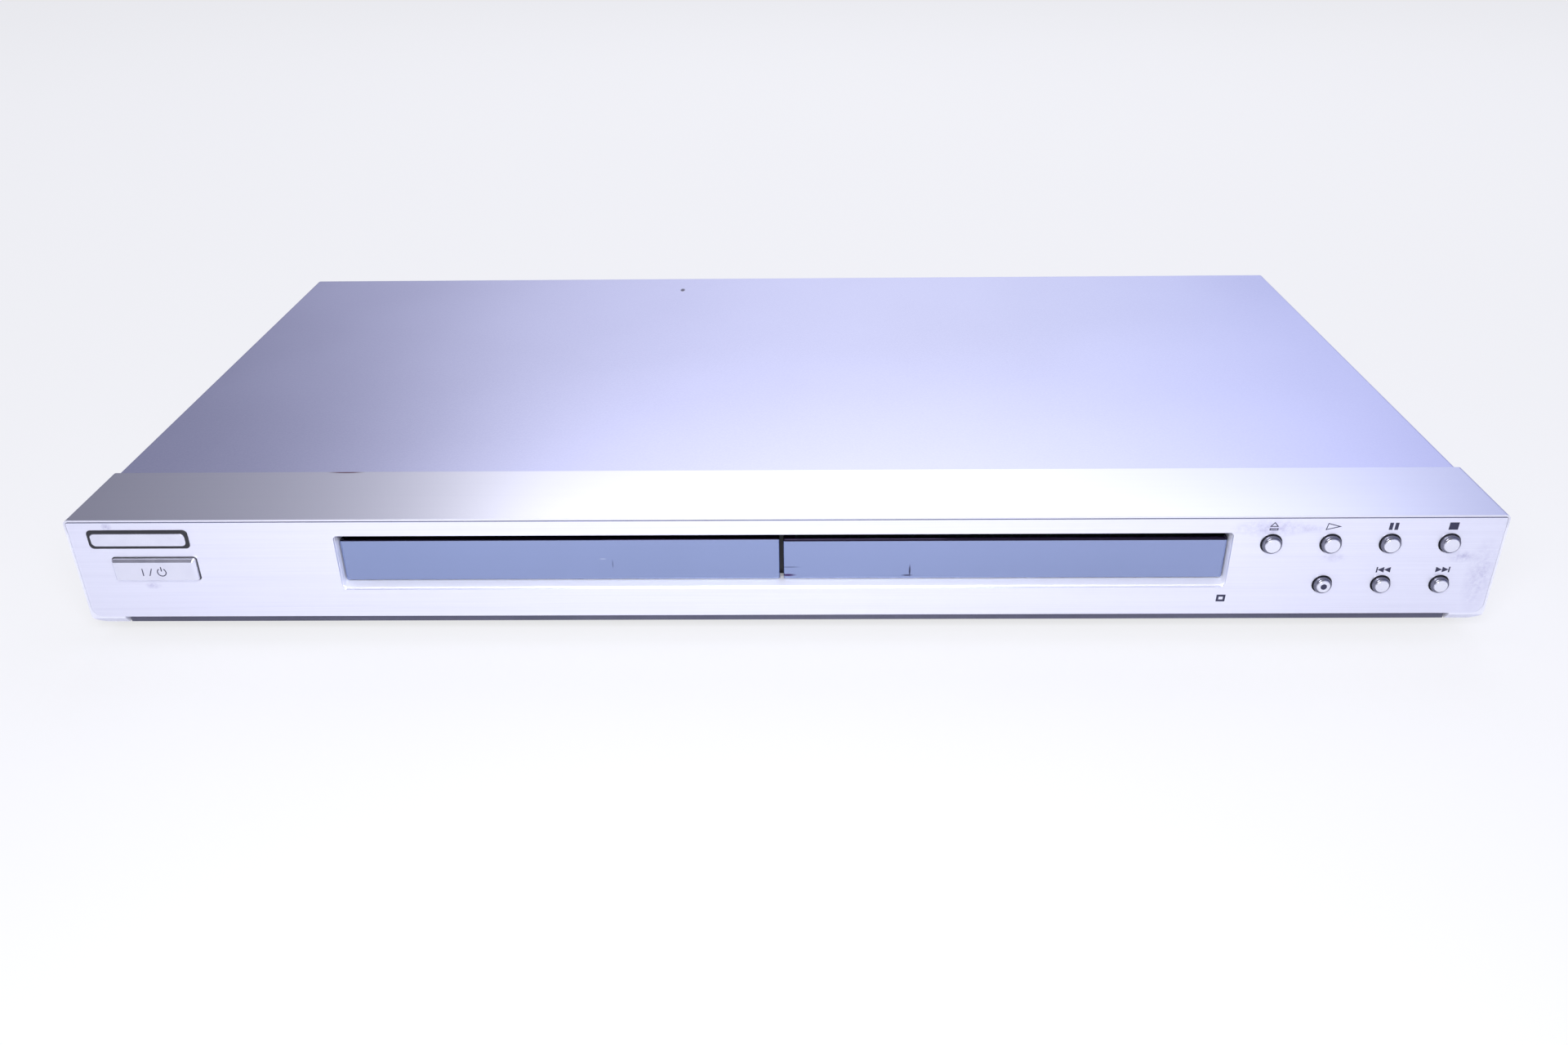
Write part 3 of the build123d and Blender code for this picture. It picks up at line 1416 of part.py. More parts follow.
with BuildPart() as drive_belt:
    small = belt_pulley + seat_gap
    large = belt_wheel + seat_gap
    span = wheel_x - motor_x
    lean = asin((large - small) / span)
    for widen, mode in ((belt_size, Mode.ADD), (0, Mode.SUBTRACT)):
        with BuildSketch(level(belt_middle - belt_size / 2)):
            with Locations((motor_x, drive_y)):
                Circle(small + widen)
            with Locations((wheel_x, drive_y)):
                Circle(large + widen)
            with Locations((motor_x, drive_y)):
                Polygon(
                    (-(small + widen) * sin(lean), (small + widen) * cos(lean)),
                    (span - (large + widen) * sin(lean), (large + widen) * cos(lean)),
                    (span - (large + widen) * sin(lean), -(large + widen) * cos(lean)),
                    (-(small + widen) * sin(lean), -(small + widen) * cos(lean)),
                    align=None,
                )
        extrude(amount=belt_size, mode=mode)
save(drive_belt, "drive_belt")

with BuildPart() as drive_gear:
    with BuildSketch(level(gear_low)):
        with Locations((drive_x, drive_y)):
            gear_face(wheel_teeth, gear_module, 180 / wheel_teeth)
    extrude(amount=wheel_high - gear_low)
    with BuildSketch(level(wheel_high)):
        with Locations((drive_x, drive_y)):
            Circle(rack_module * output_teeth / 2 - rack_module)
    extrude(amount=gear_tier - wheel_high)
    with BuildSketch(level(gear_tier)):
        with Locations((drive_x, drive_y)):
            gear_face(output_teeth, rack_module)
    extrude(amount=output_high - gear_tier)
    with BuildSketch(level(gear_low)):
        with Locations((drive_x, drive_y)):
            Circle(drive_axle + axle_play)
    extrude(amount=output_high - gear_low, mode=Mode.SUBTRACT)
save(drive_gear, "drive_gear")

# ---------------------------------------------------------------- lifting cam and frame
pin_drop = hypot(pivot_back - cam_back, cam_pin_height - pivot_height) * sin(radians(lift_angle))
with BuildPart() as cam_slider:
    with BuildSketch(facing_front(cam_back + cam_thick)) as cam_outline:
        with Locations((disc_x - cam_travel / 2 + cam_offset, (cam_low + cam_high) / 2)):
            Rectangle(cam_length, cam_height)
        chamfer(cam_outline.vertices().group_by(Axis.Y)[-1], cam_corner)
        for side in (-1, 1):
            with BuildLine(mode=Mode.PRIVATE) as run:
                Line(
                    (disc_x + side * cam_pin_half, cam_pin_height),
                    (disc_x + side * cam_pin_half - cam_travel, cam_pin_height - pin_drop),
                )
            middle = run.line @ 0.5
            with Locations((middle.X, middle.Y)):
                SlotCenterToCenter(
                    hypot(cam_travel, pin_drop),
                    2 * (cam_pin + cam_slot_gap),
                    rotation=degrees(atan2(pin_drop, cam_travel)),
                    mode=Mode.SUBTRACT,
                )
    extrude(amount=cam_thick)
save(cam_slider, "cam_slider")

with BuildPart() as lift_frame:
    with BuildSketch(level(lift_low)):
        with Locations((disc_x, behind(lift_front))):
            Rectangle(2 * lift_half, lift_back - lift_front, align=(Align.CENTER, Align.MIN))
        with Locations((disc_x, behind(lift_front + lift_rim))):
            Rectangle(
                2 * lift_inner_half,
                lift_back - lift_front - lift_rim - lift_rear_bar,
                align=(Align.CENTER, Align.MIN),
                mode=Mode.SUBTRACT,
            )
    extrude(amount=lift_thick)
    with BuildSketch(facing_front(lift_front + lift_wall)):
        with Locations((disc_x, lift_low)):
            Rectangle(
                2 * (cam_pin_half + lift_wall_side),
                lift_wall_height,
                align=(Align.CENTER, Align.MIN),
            )
    extrude(amount=lift_wall)
    with BuildSketch(facing_front(lift_front)):
        with Locations((disc_x, cam_pin_height)):
            with GridLocations(2 * cam_pin_half, 0, 2, 1):
                Circle(cam_pin)
    extrude(amount=lift_front - cam_back + slide_gap)
    with BuildSketch(level(lift_low)):
        with Locations((disc_x, behind(pivot_back))):
            Rectangle(2 * lift_half, 2 * pivot_block)
    extrude(amount=pivot_height + pivot_radius + pivot_cap - lift_low)
    with Locations(Location((disc_x, behind(pivot_back), pivot_height), (0, 90, 0))):
        Cylinder(pivot_radius, 2 * pivot_reach)
save(lift_frame, "lift_frame")

damper_spots = [
    (disc_x + side * (lift_half - damper_radius), behind(d)) for side in (-1, 1) for d in damper_places
]
with BuildPart() as rubber_dampers:
    with BuildSketch(level(lift_low + lift_thick)):
        with Locations(*damper_spots):
            Circle(damper_radius)
    extrude(amount=damper_height)
    with BuildSketch(level(base_low)):
        with Locations(*damper_spots):
            Circle(damper_neck)
    extrude(amount=base_thick)
    with BuildSketch(level(base_top)):
        with Locations(*damper_spots):
            Circle(damper_radius)
    extrude(amount=damper_height)
save(rubber_dampers, "rubber_dampers")

rod_spots = [disc_x + side * rod_half for side in (-1, 1)]
with BuildPart() as traverse_base:
    with BuildSketch(level(base_low)) as base_outline:
        with Locations((disc_x, behind(damper_places[0] - damper_radius))):
            Rectangle(
                2 * lift_half,
                damper_places[1] - damper_places[0] + 2 * damper_radius,
                align=(Align.CENTER, Align.MIN),
            )
        fillet(base_outline.vertices(), damper_radius)
        with Locations((disc_x, behind(window_start))):
            Rectangle(
                2 * window_half,
                window_end - window_start,
                align=(Align.CENTER, Align.MIN),
                mode=Mode.SUBTRACT,
            )
        with Locations((disc_x, disc_y)):
            Circle(stator_radius + seat_gap, mode=Mode.SUBTRACT)
        with Locations(*damper_spots):
            Circle(damper_neck + seat_gap, mode=Mode.SUBTRACT)
        with Locations((sled_x, sled_pinion_y)):
            Circle(sled_motor_boss + seat_gap, mode=Mode.SUBTRACT)
    extrude(amount=base_thick)
    for d in (rod_ends[0], rod_ends[1] - rod_tab):
        with BuildSketch(facing_front(d + rod_tab)):
            with Locations(*[(x, base_low) for x in rod_spots]):
                Rectangle(
                    2 * rod_tab_half,
                    rod_height + rod_tab_half - base_low,
                    align=(Align.CENTER, Align.MIN),
                )
        extrude(amount=rod_tab)
        with BuildSketch(facing_front(d + rod_tab)):
            with Locations(*[(x, rod_height) for x in rod_spots]):
                Circle(rod_radius + axle_play)
        extrude(amount=rod_tab, mode=Mode.SUBTRACT)
    with BuildSketch(level(base_low)):
        with Locations((sled_x, sled_y)):
            Circle(sled_axle)
    extrude(amount=sled_high - base_low)
save(traverse_base, "traverse_base")

with BuildPart() as guide_rods:
    with BuildSketch(facing_front(rod_ends[1])):
        with Locations(*[(x, rod_height) for x in rod_spots]):
            Circle(rod_radius)
    extrude(amount=rod_ends[1] - rod_ends[0])
save(guide_rods, "guide_rods")

# ---------------------------------------------------------------- spindle
with BuildPart() as spindle_motor:
    with BuildSketch(level(base_low - stator_plate)):
        with Locations((disc_x, disc_y)):
            Circle(stator_flange)
    extrude(amount=stator_plate)
    with BuildSketch(level(base_low)):
        with Locations((disc_x, disc_y)):
            Circle(stator_radius)
    extrude(amount=stator_high - base_low)
    with BuildSketch(level(base_low - stator_plate)):
        with Locations((disc_x, disc_y)):
            Circle(spindle_shaft + axle_play)
    extrude(amount=stator_high - base_low + stator_plate, mode=Mode.SUBTRACT)
save(spindle_motor, "spindle_motor")

rotor_high = disc_plane - platter_thick
with BuildPart() as spindle_rotor:
    rotor_profile = [
        (0, base_low - stator_plate + seat_gap),
        (spindle_shaft, base_low - stator_plate + seat_gap),
        (spindle_shaft, rotor_high - rotor_cap),
        (rotor_radius - rotor_cap, rotor_high - rotor_cap),
        (rotor_radius - rotor_cap, base_top + 2 * slide_gap),
        (rotor_radius, base_top + 2 * slide_gap),
        (rotor_radius, rotor_high),
        (spindle_shaft, rotor_high),
        (spindle_shaft, disc_plane + hub_height - seat_gap),
        (0, disc_plane + hub_height - seat_gap),
    ]
    with BuildSketch(Plane.XZ.offset(-disc_y)):
        with BuildLine():
            Polyline(*[(disc_x + r, z) for r, z in rotor_profile], close=True)
        make_face()
    revolve(axis=Axis((disc_x, disc_y, 0), (0, 0, 1)))
save(spindle_rotor, "spindle_rotor")

with BuildPart() as turntable:
    table_profile = [
        (spindle_shaft + axle_play, rotor_high),
        (platter_radius, rotor_high),
        (platter_radius, disc_plane - ring_thick),
        (hub_radius, disc_plane - ring_thick),
        (hub_radius, disc_plane + hub_step),
        (hub_radius - hub_cone, disc_plane + hub_height),
        (spindle_shaft + axle_play, disc_plane + hub_height),
    ]
    with BuildSketch(Plane.XZ.offset(-disc_y)):
        with BuildLine():
            Polyline(*[(disc_x + r, z) for r, z in table_profile], close=True)
        make_face()
    revolve(axis=Axis((disc_x, disc_y, 0), (0, 0, 1)))
save(turntable, "turntable")

with BuildPart() as turntable_ring:
    with BuildSketch(level(disc_plane - ring_thick)):
        with Locations((disc_x, disc_y)):
            Circle(platter_radius)
            Circle(platter_radius - ring_width, mode=Mode.SUBTRACT)
    extrude(amount=ring_thick)
save(turntable_ring, "turntable_ring")

# ---------------------------------------------------------------- optical pickup
lens_y = disc_y + pickup_inner
with BuildPart() as pickup:
    with BuildSketch(level(base_top + 2 * slide_gap)):
        with Locations((disc_x, lens_y - pickup_front)):
            Rectangle(2 * pickup_half, pickup_length, align=(Align.CENTER, Align.MIN))
    extrude(amount=pickup_high - base_top - 2 * slide_gap)
    chamfer(pickup.edges().filter_by(Axis.Z), pickup_corner)
    for side, length in ((-1, pickup_bearing), (1, pickup_bearing / 2)):
        with BuildSketch(level(rod_height - bearing_half)):
            with Locations((disc_x + side * pickup_inset, lens_y)):
                Rectangle(
                    rod_half + bearing_half - pickup_inset,
                    length,
                    align=(Align.MIN if side > 0 else Align.MAX, Align.CENTER),
                )
        extrude(amount=2 * bearing_half)
    with BuildSketch(facing_front(disc_back + pickup_inner + pickup_bearing)):
        with Locations(*[(x, rod_height) for x in rod_spots]):
            Circle(rod_radius + axle_play)
    extrude(amount=2 * pickup_bearing, mode=Mode.SUBTRACT)
    with BuildSketch(level(pickup_high)):
        with Locations((disc_x, lens_y)):
            Circle(lens_radius + seat_gap)
    extrude(amount=-lens_seat, mode=Mode.SUBTRACT)
    rack_front = sled_y - pickup_travel - sled_rack_spare
    with BuildSketch(level(sled_rack_low).shift_origin((disc_x + sled_rack_x, 0, sled_rack_low))):
        rack_teeth(sled_module, rack_front, sled_y + sled_rack_spare, sled_y, 1)
        with Locations((-sled_module * tooth_depth, rack_front)):
            Rectangle(
                sled_rack_body,
                pickup_travel + 2 * sled_rack_spare,
                align=(Align.MAX, Align.MIN),
            )
    extrude(amount=sled_rack_width)
    with BuildSketch(level(sled_rack_low)):
        with Locations((disc_x + rod_half, lens_y)):
            Rectangle(
                sled_rack_x - rod_half - sled_module,
                pickup_bearing / 2,
                align=(Align.MIN, Align.CENTER),
            )
            Rectangle(rod_relief, pickup_bearing / 2, mode=Mode.SUBTRACT)
    extrude(amount=sled_rack_width)
save(pickup, "pickup")

with BuildPart() as pickup_lens:
    with BuildSketch(level(pickup_high - lens_seat)):
        with Locations((disc_x, lens_y)):
            Circle(lens_radius)
    extrude(amount=lens_seat + lens_rise)
    fillet(pickup_lens.edges().group_by(Axis.Z)[-1], lens_rise)
save(pickup_lens, "pickup_lens")

with BuildPart() as sled_motor:
    with BuildSketch(level(base_low - sled_motor_height)):
        with Locations((sled_x, sled_pinion_y)):
            Circle(sled_motor_radius)
    extrude(amount=sled_motor_height)
    with BuildSketch(level(base_low)):
        with Locations((sled_x, sled_pinion_y)):
            Circle(sled_motor_boss)
    extrude(amount=base_thick)
    with BuildSketch(level(base_top)):
        with Locations((sled_x, sled_pinion_y)):
            Circle(sled_shaft + axle_play)
    extrude(amount=-sled_motor_height, mode=Mode.SUBTRACT)
save(sled_motor, "sled_motor")

with BuildPart() as sled_pinion:
    with BuildSketch(level(sled_low)):
        with Locations((sled_x, sled_pinion_y)):
            gear_face(sled_pinion_teeth, sled_module)
    extrude(amount=sled_wheel_high - sled_low)
    with BuildSketch(level(sled_wheel_high)):
        with Locations((sled_x, sled_pinion_y)):
            Circle(sled_shaft)
    extrude(amount=-(sled_wheel_high - base_low))
save(sled_pinion, "sled_pinion")

with BuildPart() as sled_gear:
    with BuildSketch(level(sled_low)):
        with Locations((sled_x, sled_y)):
            gear_face(sled_large_teeth, sled_module)
    extrude(amount=sled_wheel_high - sled_low)
    with BuildSketch(level(sled_wheel_high)):
        with Locations((sled_x, sled_y)):
            gear_face(sled_small_teeth, sled_module)
    extrude(amount=sled_high - sled_wheel_high)
    with BuildSketch(level(sled_low)):
        with Locations((sled_x, sled_y)):
            Circle(sled_axle + axle_play)
    extrude(amount=sled_high - sled_low, mode=Mode.SUBTRACT)
save(sled_gear, "sled_gear")
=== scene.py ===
"""Looks of a slim silver disc player with a tray: finishes, soft edges, repeats, printed symbols,
light and camera.

Lengths are in metres unless a comment says mm, in the frame's own space: X to the right seen from the
front, Y to the back, Z up."""

import json
import math

import bmesh
import bpy
from mathutils import Matrix, Vector


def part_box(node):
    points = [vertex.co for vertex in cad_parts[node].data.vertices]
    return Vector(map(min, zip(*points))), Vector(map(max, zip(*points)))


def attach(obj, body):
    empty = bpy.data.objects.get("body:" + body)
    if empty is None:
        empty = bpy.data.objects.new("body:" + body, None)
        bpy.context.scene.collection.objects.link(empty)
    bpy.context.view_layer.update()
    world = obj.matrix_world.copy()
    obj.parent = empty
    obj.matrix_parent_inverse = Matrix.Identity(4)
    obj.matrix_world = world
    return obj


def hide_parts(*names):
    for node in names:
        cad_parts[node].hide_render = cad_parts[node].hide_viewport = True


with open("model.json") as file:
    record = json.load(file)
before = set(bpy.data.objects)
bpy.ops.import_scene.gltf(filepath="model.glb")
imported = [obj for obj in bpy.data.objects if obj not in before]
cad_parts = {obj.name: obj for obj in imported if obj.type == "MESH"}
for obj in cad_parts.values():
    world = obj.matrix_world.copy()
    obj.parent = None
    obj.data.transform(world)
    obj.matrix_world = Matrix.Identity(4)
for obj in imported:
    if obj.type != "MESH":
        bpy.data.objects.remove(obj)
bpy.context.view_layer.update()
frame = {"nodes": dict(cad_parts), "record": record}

MM = 0.001
nodes = frame["nodes"]
record = frame["record"]
body_of_node = {node: body for body, names in record["behaviour"]["bodies"].items() for node in names}
slot_of_node = {row["node"]: row["material_slot"] for row in record["subparts"]}

# ---------------------------------------------------------------- places taken from the frame
plate_low, plate_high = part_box("face_plate")
face = plate_low.y  # the front face's plane
power_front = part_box("power_button")[0].y
window_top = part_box("display_window")[1].z


# ================================================================ node helpers
def node(tree, kind, **sockets):
    """One shader node with its input sockets set by name; underscores stand for spaces."""
    made = tree.nodes.new(kind)
    for key, value in sockets.items():
        name = key.replace("_", " ")
        if hasattr(value, "is_output"):
            tree.links.new(value, made.inputs[name])
        else:
            made.inputs[name].default_value = value
    return made


def maths(tree, operation, first, second=0.0, third=0.0):
    made = tree.nodes.new("ShaderNodeMath")
    made.operation = operation
    for socket, value in zip(made.inputs, (first, second, third)):
        if hasattr(value, "is_output"):
            tree.links.new(value, socket)
        else:
            socket.default_value = value
    return made.outputs[0]


def ramp(tree, value, stops, interpolation="LINEAR"):
    """A colour ramp; stops are (place, colour or grey)."""
    made = tree.nodes.new("ShaderNodeValToRGB")
    made.color_ramp.interpolation = interpolation
    elements = made.color_ramp.elements
    while len(elements) < len(stops):
        elements.new(0.5)
    for element, (place, colour) in zip(elements, stops):
        element.position = place
        element.color = (colour, colour, colour, 1) if isinstance(colour, float) else (*colour, 1)
    tree.links.new(value, made.inputs["Fac"])
    return made.outputs["Color"]


def mix_colour(tree, factor, first, second, blend="MIX"):
    made = tree.nodes.new("ShaderNodeMix")
    made.data_type = "RGBA"
    made.blend_type = blend
    for socket, value in ((made.inputs[0], factor), (made.inputs[6], first), (made.inputs[7], second)):
        if hasattr(value, "is_output"):
            tree.links.new(value, socket)
        elif isinstance(value, tuple):
            socket.default_value = (*value, 1)
        else:
            socket.default_value = value
    return made.outputs[2]


def stretched(tree, vector, scale):
    made = tree.nodes.new("ShaderNodeMapping")
    made.inputs["Scale"].default_value = scale
    tree.links.new(vector, made.inputs["Vector"])
    return made.outputs["Vector"]


def noise(tree, vector, scale, detail=2.0, roughness=0.5):
    made = node(tree, "ShaderNodeTexNoise", Vector=vector, Scale=scale, Detail=detail, Roughness=roughness)
    return made.outputs["Fac"]


# ================================================================ shared effects
def new_group(name, inputs, outputs):
    """An empty shader node group with float or vector sockets; returns its tree, input and output nodes."""
    tree = bpy.data.node_groups.new(name, "ShaderNodeTree")
    for label, default in inputs:
        kind = "NodeSocketVector" if label in ("Vector", "Stretch") else "NodeSocketFloat"
        socket = tree.interface.new_socket(label, in_out="INPUT", socket_type=kind)
        socket.default_value = default
    for label in outputs:
        tree.interface.new_socket(label, in_out="OUTPUT", socket_type="NodeSocketFloat")
    return tree, tree.nodes.new("NodeGroupInput"), tree.nodes.new("NodeGroupOutput")


def make_brushing():
    """Fine straight brush lines: Lines is their height and Bands a slower change across them."""
    tree, given, out = new_group(
        "brushing", [("Vector", (0, 0, 0)), ("Stretch", (25, 2600, 2600))], ["Lines", "Bands"]
    )
    scaled = tree.nodes.new("ShaderNodeVectorMath")
    scaled.operation = "MULTIPLY"
    tree.links.new(given.outputs["Vector"], scaled.inputs[0])
    tree.links.new(given.outputs["Stretch"], scaled.inputs[1])
    tree.links.new(noise(tree, scaled.outputs[0], 1.0, 3.0, 0.7), out.inputs["Lines"])
    tree.links.new(noise(tree, scaled.outputs[0], 0.16, 2.0, 0.6), out.inputs["Bands"])
    return tree


def make_specks():
    """Small scattered marks: Marks is 1 on a mark."""
    tree, given, out = new_group(
        "specks", [("Vector", (0, 0, 0)), ("Density", 400.0), ("Amount", 0.08)], ["Marks"]
    )
    cells = tree.nodes.new("ShaderNodeTexVoronoi")
    tree.links.new(given.outputs["Vector"], cells.inputs["Vector"])
    tree.links.new(given.outputs["Density"], cells.inputs["Scale"])
    chance = maths(tree, "LESS_THAN", cells.outputs["Color"], given.outputs["Amount"])
    mark_reach = 0.16  # of a cell
    inside = maths(tree, "LESS_THAN", cells.outputs["Distance"], mark_reach)
    tree.links.new(maths(tree, "MULTIPLY", chance, inside), out.inputs["Marks"])
    return tree


def make_mottle():
    """Slow cloudy change of tone and roughness, and a fine pebble for paint and moulded plastic."""
    tree, given, out = new_group(
        "mottle", [("Vector", (0, 0, 0)), ("Clouds", 12.0), ("Pebble", 1800.0)], ["Cloud", "Grain"]
    )
    cloud = tree.nodes.new("ShaderNodeTexNoise")
    tree.links.new(given.outputs["Vector"], cloud.inputs["Vector"])
    tree.links.new(given.outputs["Clouds"], cloud.inputs["Scale"])
    cloud.inputs["Detail"].default_value = 3.0
    grain = tree.nodes.new("ShaderNodeTexNoise")
    tree.links.new(given.outputs["Vector"], grain.inputs["Vector"])
    tree.links.new(given.outputs["Pebble"], grain.inputs["Scale"])
    grain.inputs["Detail"].default_value = 1.0
    tree.links.new(cloud.outputs["Fac"], out.inputs["Cloud"])
    tree.links.new(grain.outputs["Fac"], out.inputs["Grain"])
    return tree


brushing = make_brushing()
specks = make_specks()
mottle = make_mottle()


def effect(tree, group, **sockets):
    made = tree.nodes.new("ShaderNodeGroup")
    made.node_tree = group
    for key, value in sockets.items():
        if hasattr(value, "is_output"):
            tree.links.new(value, made.inputs[key])
        else:
            made.inputs[key].default_value = value
    return made.outputs


def new_finish(name, metallic, specular=0.5):
    """A material with its Principled shader, node tree and Object coordinates."""
    made = bpy.data.materials.new(name)
    made.use_nodes = True
    tree = made.node_tree
    shader = tree.nodes["Principled BSDF"]
    shader.inputs["Metallic"].default_value = metallic
    shader.inputs["Specular IOR Level"].default_value = specular
    place = tree.nodes.new("ShaderNodeTexCoord").outputs["Object"]
    return made, tree, shader, place


def connect(tree, shader, colour, roughness, height=None, bump=0.1, distance=0.0001):
    tree.links.new(colour, shader.inputs["Base Color"])
    tree.links.new(roughness, shader.inputs["Roughness"])
    if height is not None:
        made = node(tree, "ShaderNodeBump", Strength=bump, Distance=distance, Height=height)
        tree.links.new(made.outputs["Normal"], shader.inputs["Normal"])


def between(tree, value, low, high):
    """Stretches a value that lies round 0.5 to the range low to high."""
    made = node(tree, "ShaderNodeMapRange", Value=value, From_Min=0.3, From_Max=0.7, To_Min=low, To_Max=high)
    return made.outputs["Result"]


# ================================================================ finishes
def spot(tree, place, centre, half, softness):
    """1 inside an ellipsoid round a point, falling to 0 past its edge; centre and half sizes in mm."""
    local = tree.nodes.new("ShaderNodeMapping")
    local.vector_type = "TEXTURE"
    local.inputs["Location"].default_value = [v * MM for v in centre]
    local.inputs["Scale"].default_value = [v * MM for v in half]
    tree.links.new(place, local.inputs["Vector"])
    far = tree.nodes.new("ShaderNodeVectorMath")
    far.operation = "LENGTH"
    tree.links.new(local.outputs["Vector"], far.inputs[0])
    near = node(
        tree, "ShaderNodeMapRange", Value=far.outputs["Value"],
        From_Min=1.0 + softness, From_Max=max(1.0 - softness, 0.0), To_Min=0.0, To_Max=1.0,
    )
    return near.outputs["Result"]


# Marks of use, in mm: a nick in the cover's paint, a chip in the strip's rear edge, then smudges on the
# face as (centre, half sizes, strength) and small marks on the pane as (centre, half sizes, colour).
cover_nick = (-46.2, 96.2, 42.5)
strip_chip = (-139.3, -85.4, 43.0)
face_mm = face / MM
face_smudges = [
    ((145.8, face_mm, 38.9), (6.5, 1.0, 1.7), 0.8),
    ((157.5, face_mm, 38.6), (2.6, 1.0, 0.8), 0.5),
    ((203.6, face_mm, 29.0), (2.4, 1.0, 1.2), 0.9),
    ((210.4, face_mm, 22.5), (2.6, 1.0, 7.0), 0.6),
    ((165.5, face_mm, 28.6), (2.4, 1.0, 0.9), 0.6),
    ((-192.9, face_mm, 20.3), (1.4, 1.0, 0.7), 0.9),
    ((-202.2, face_mm, 40.8), (0.9, 1.0, 0.8), 1.2),
]
pane_sunk = 3.0
pane_mm = face_mm + pane_sunk
pane_marks = [
    ((38.3, pane_mm, 21.3), (1.4, 1.0, 0.22), (0.05, 0.05, 0.10)),
    ((39.1, pane_mm, 22.9), (0.24, 1.0, 1.7), (0.05, 0.05, 0.10)),
    ((1.9, pane_mm, 21.5), (1.9, 1.0, 0.36), (0.06, 0.02, 0.10)),
    ((2.4, pane_mm, 24.3), (2.6, 1.0, 0.14), (0.12, 0.14, 0.24)),
    ((-54.5, pane_mm, 27.4), (1.0, 1.0, 0.14), (0.48, 0.53, 0.66)),
    ((-51.6, pane_mm, 25.6), (0.16, 1.0, 1.3), (0.16, 0.19, 0.30)),
]


def cover_paint():
    """Satin lavender-silver paint on sheet steel, with a few small marks."""
    made, tree, shader, place = new_finish("cover_paint", 0.85, 0.5)
    tone = effect(tree, mottle, Vector=place, Clouds=7.0, Pebble=1500.0)
    colour = mix_colour(tree, between(tree, tone["Cloud"], 0.0, 1.0), (0.64, 0.65, 0.85), (0.68, 0.69, 0.89))
    colour = mix_colour(tree, between(tree, tone["Grain"], 0.0, 0.5), colour, (0.72, 0.73, 0.91))
    marks = effect(tree, specks, Vector=place, Density=60.0, Amount=0.02)["Marks"]
    colour = mix_colour(tree, maths(tree, "MULTIPLY", marks, 0.25), colour, (0.40, 0.40, 0.52))
    nick = spot(tree, place, cover_nick, (0.9, 1.8, 1.5), 0.3)
    colour = mix_colour(tree, nick, colour, (0.12, 0.11, 0.16))
    uneven = between(tree, tone["Cloud"], 0.34, 0.40)
    connect(tree, shader, colour, uneven, tone["Grain"], 0.12, 0.00005)
    return made


def brushed_silver(name, light, dark, metallic, rough, stretch, depth=0.1):
    """Fine lines along X between two close tones; depth is how strongly they stand out."""
    made, tree, shader, place = new_finish(name, metallic, 0.5)
    lines = effect(tree, brushing, Vector=place, Stretch=stretch)
    amount = between(tree, lines["Lines"], 0.0, 1.0)
    slow = between(tree, lines["Bands"], 0.0, 0.6)
    colour = mix_colour(tree, amount, dark, light)
    colour = mix_colour(tree, slow, colour, light)
    uneven = between(tree, lines["Lines"], rough - 0.3 * depth, rough + 0.3 * depth)
    connect(tree, shader, colour, uneven, lines["Lines"], depth, 0.00002)
    return made, tree, shader, place, colour


def fascia_silver():
    """Brushed look of the moulded front and its top strip."""
    made, tree, shader, place, colour = brushed_silver(
        "fascia_silver", (0.93, 0.93, 0.97), (0.90, 0.90, 0.95), 0.9, 0.30, (14, 3000, 3000), 0.03
    )
    height = tree.nodes.new("ShaderNodeSeparateXYZ")
    tree.links.new(place, height.inputs[0])
    # The strip on top is metallised; the moulded front and legs under it are a plainer silver paint.
    painted_below, plated_above = 38.0 * MM, 40.0 * MM
    plated = node(
        tree, "ShaderNodeMapRange", Value=height.outputs["Z"],
        From_Min=painted_below, From_Max=plated_above, To_Min=0.25, To_Max=0.9,
    )
    tree.links.new(plated.outputs["Result"], shader.inputs["Metallic"])
    worn = effect(tree, specks, Vector=place, Density=45.0, Amount=0.03)["Marks"]
    colour = mix_colour(tree, maths(tree, "MULTIPLY", worn, 0.3), colour, (0.45, 0.44, 0.50))
    chip = spot(tree, place, strip_chip, (4.5, 0.6, 1.0), 0.4)
    colour = mix_colour(tree, chip, colour, (0.24, 0.13, 0.15))
    tree.links.new(colour, shader.inputs["Base Color"])
    return made


def face_aluminium():
    """Pale brushed plate of the front, with faint smudges round the keys and a painted shade line along its
    top edge.
    """
    made, tree, shader, place, colour = brushed_silver(
        "face_aluminium", (0.90, 0.90, 0.97), (0.84, 0.84, 0.92), 0.6, 0.38, (18, 2400, 2400)
    )
    height = tree.nodes.new("ShaderNodeSeparateXYZ")
    tree.links.new(place, height.inputs[0])
    # A dark line along the plate's top edge is painted shade, for the shadow in the gap under the fascia's
    # rim.
    gap_shade_height = 0.26 * MM
    shaded_top_edge = maths(tree, "GREATER_THAN", height.outputs["Z"], plate_high.z - gap_shade_height)
    colour = mix_colour(tree, shaded_top_edge, colour, (0.20, 0.21, 0.30))
    patchy = between(tree, noise(tree, place, 900.0, 3.0, 0.6), 0.0, 1.0)
    for centre, half, strength in face_smudges:
        faint = maths(tree, "MULTIPLY", spot(tree, place, centre, half, 1.0), patchy)
        smudge = maths(tree, "MULTIPLY", faint, strength)
        colour = mix_colour(tree, smudge, colour, (0.50, 0.48, 0.66))
    tree.links.new(colour, shader.inputs["Base Color"])
    return made


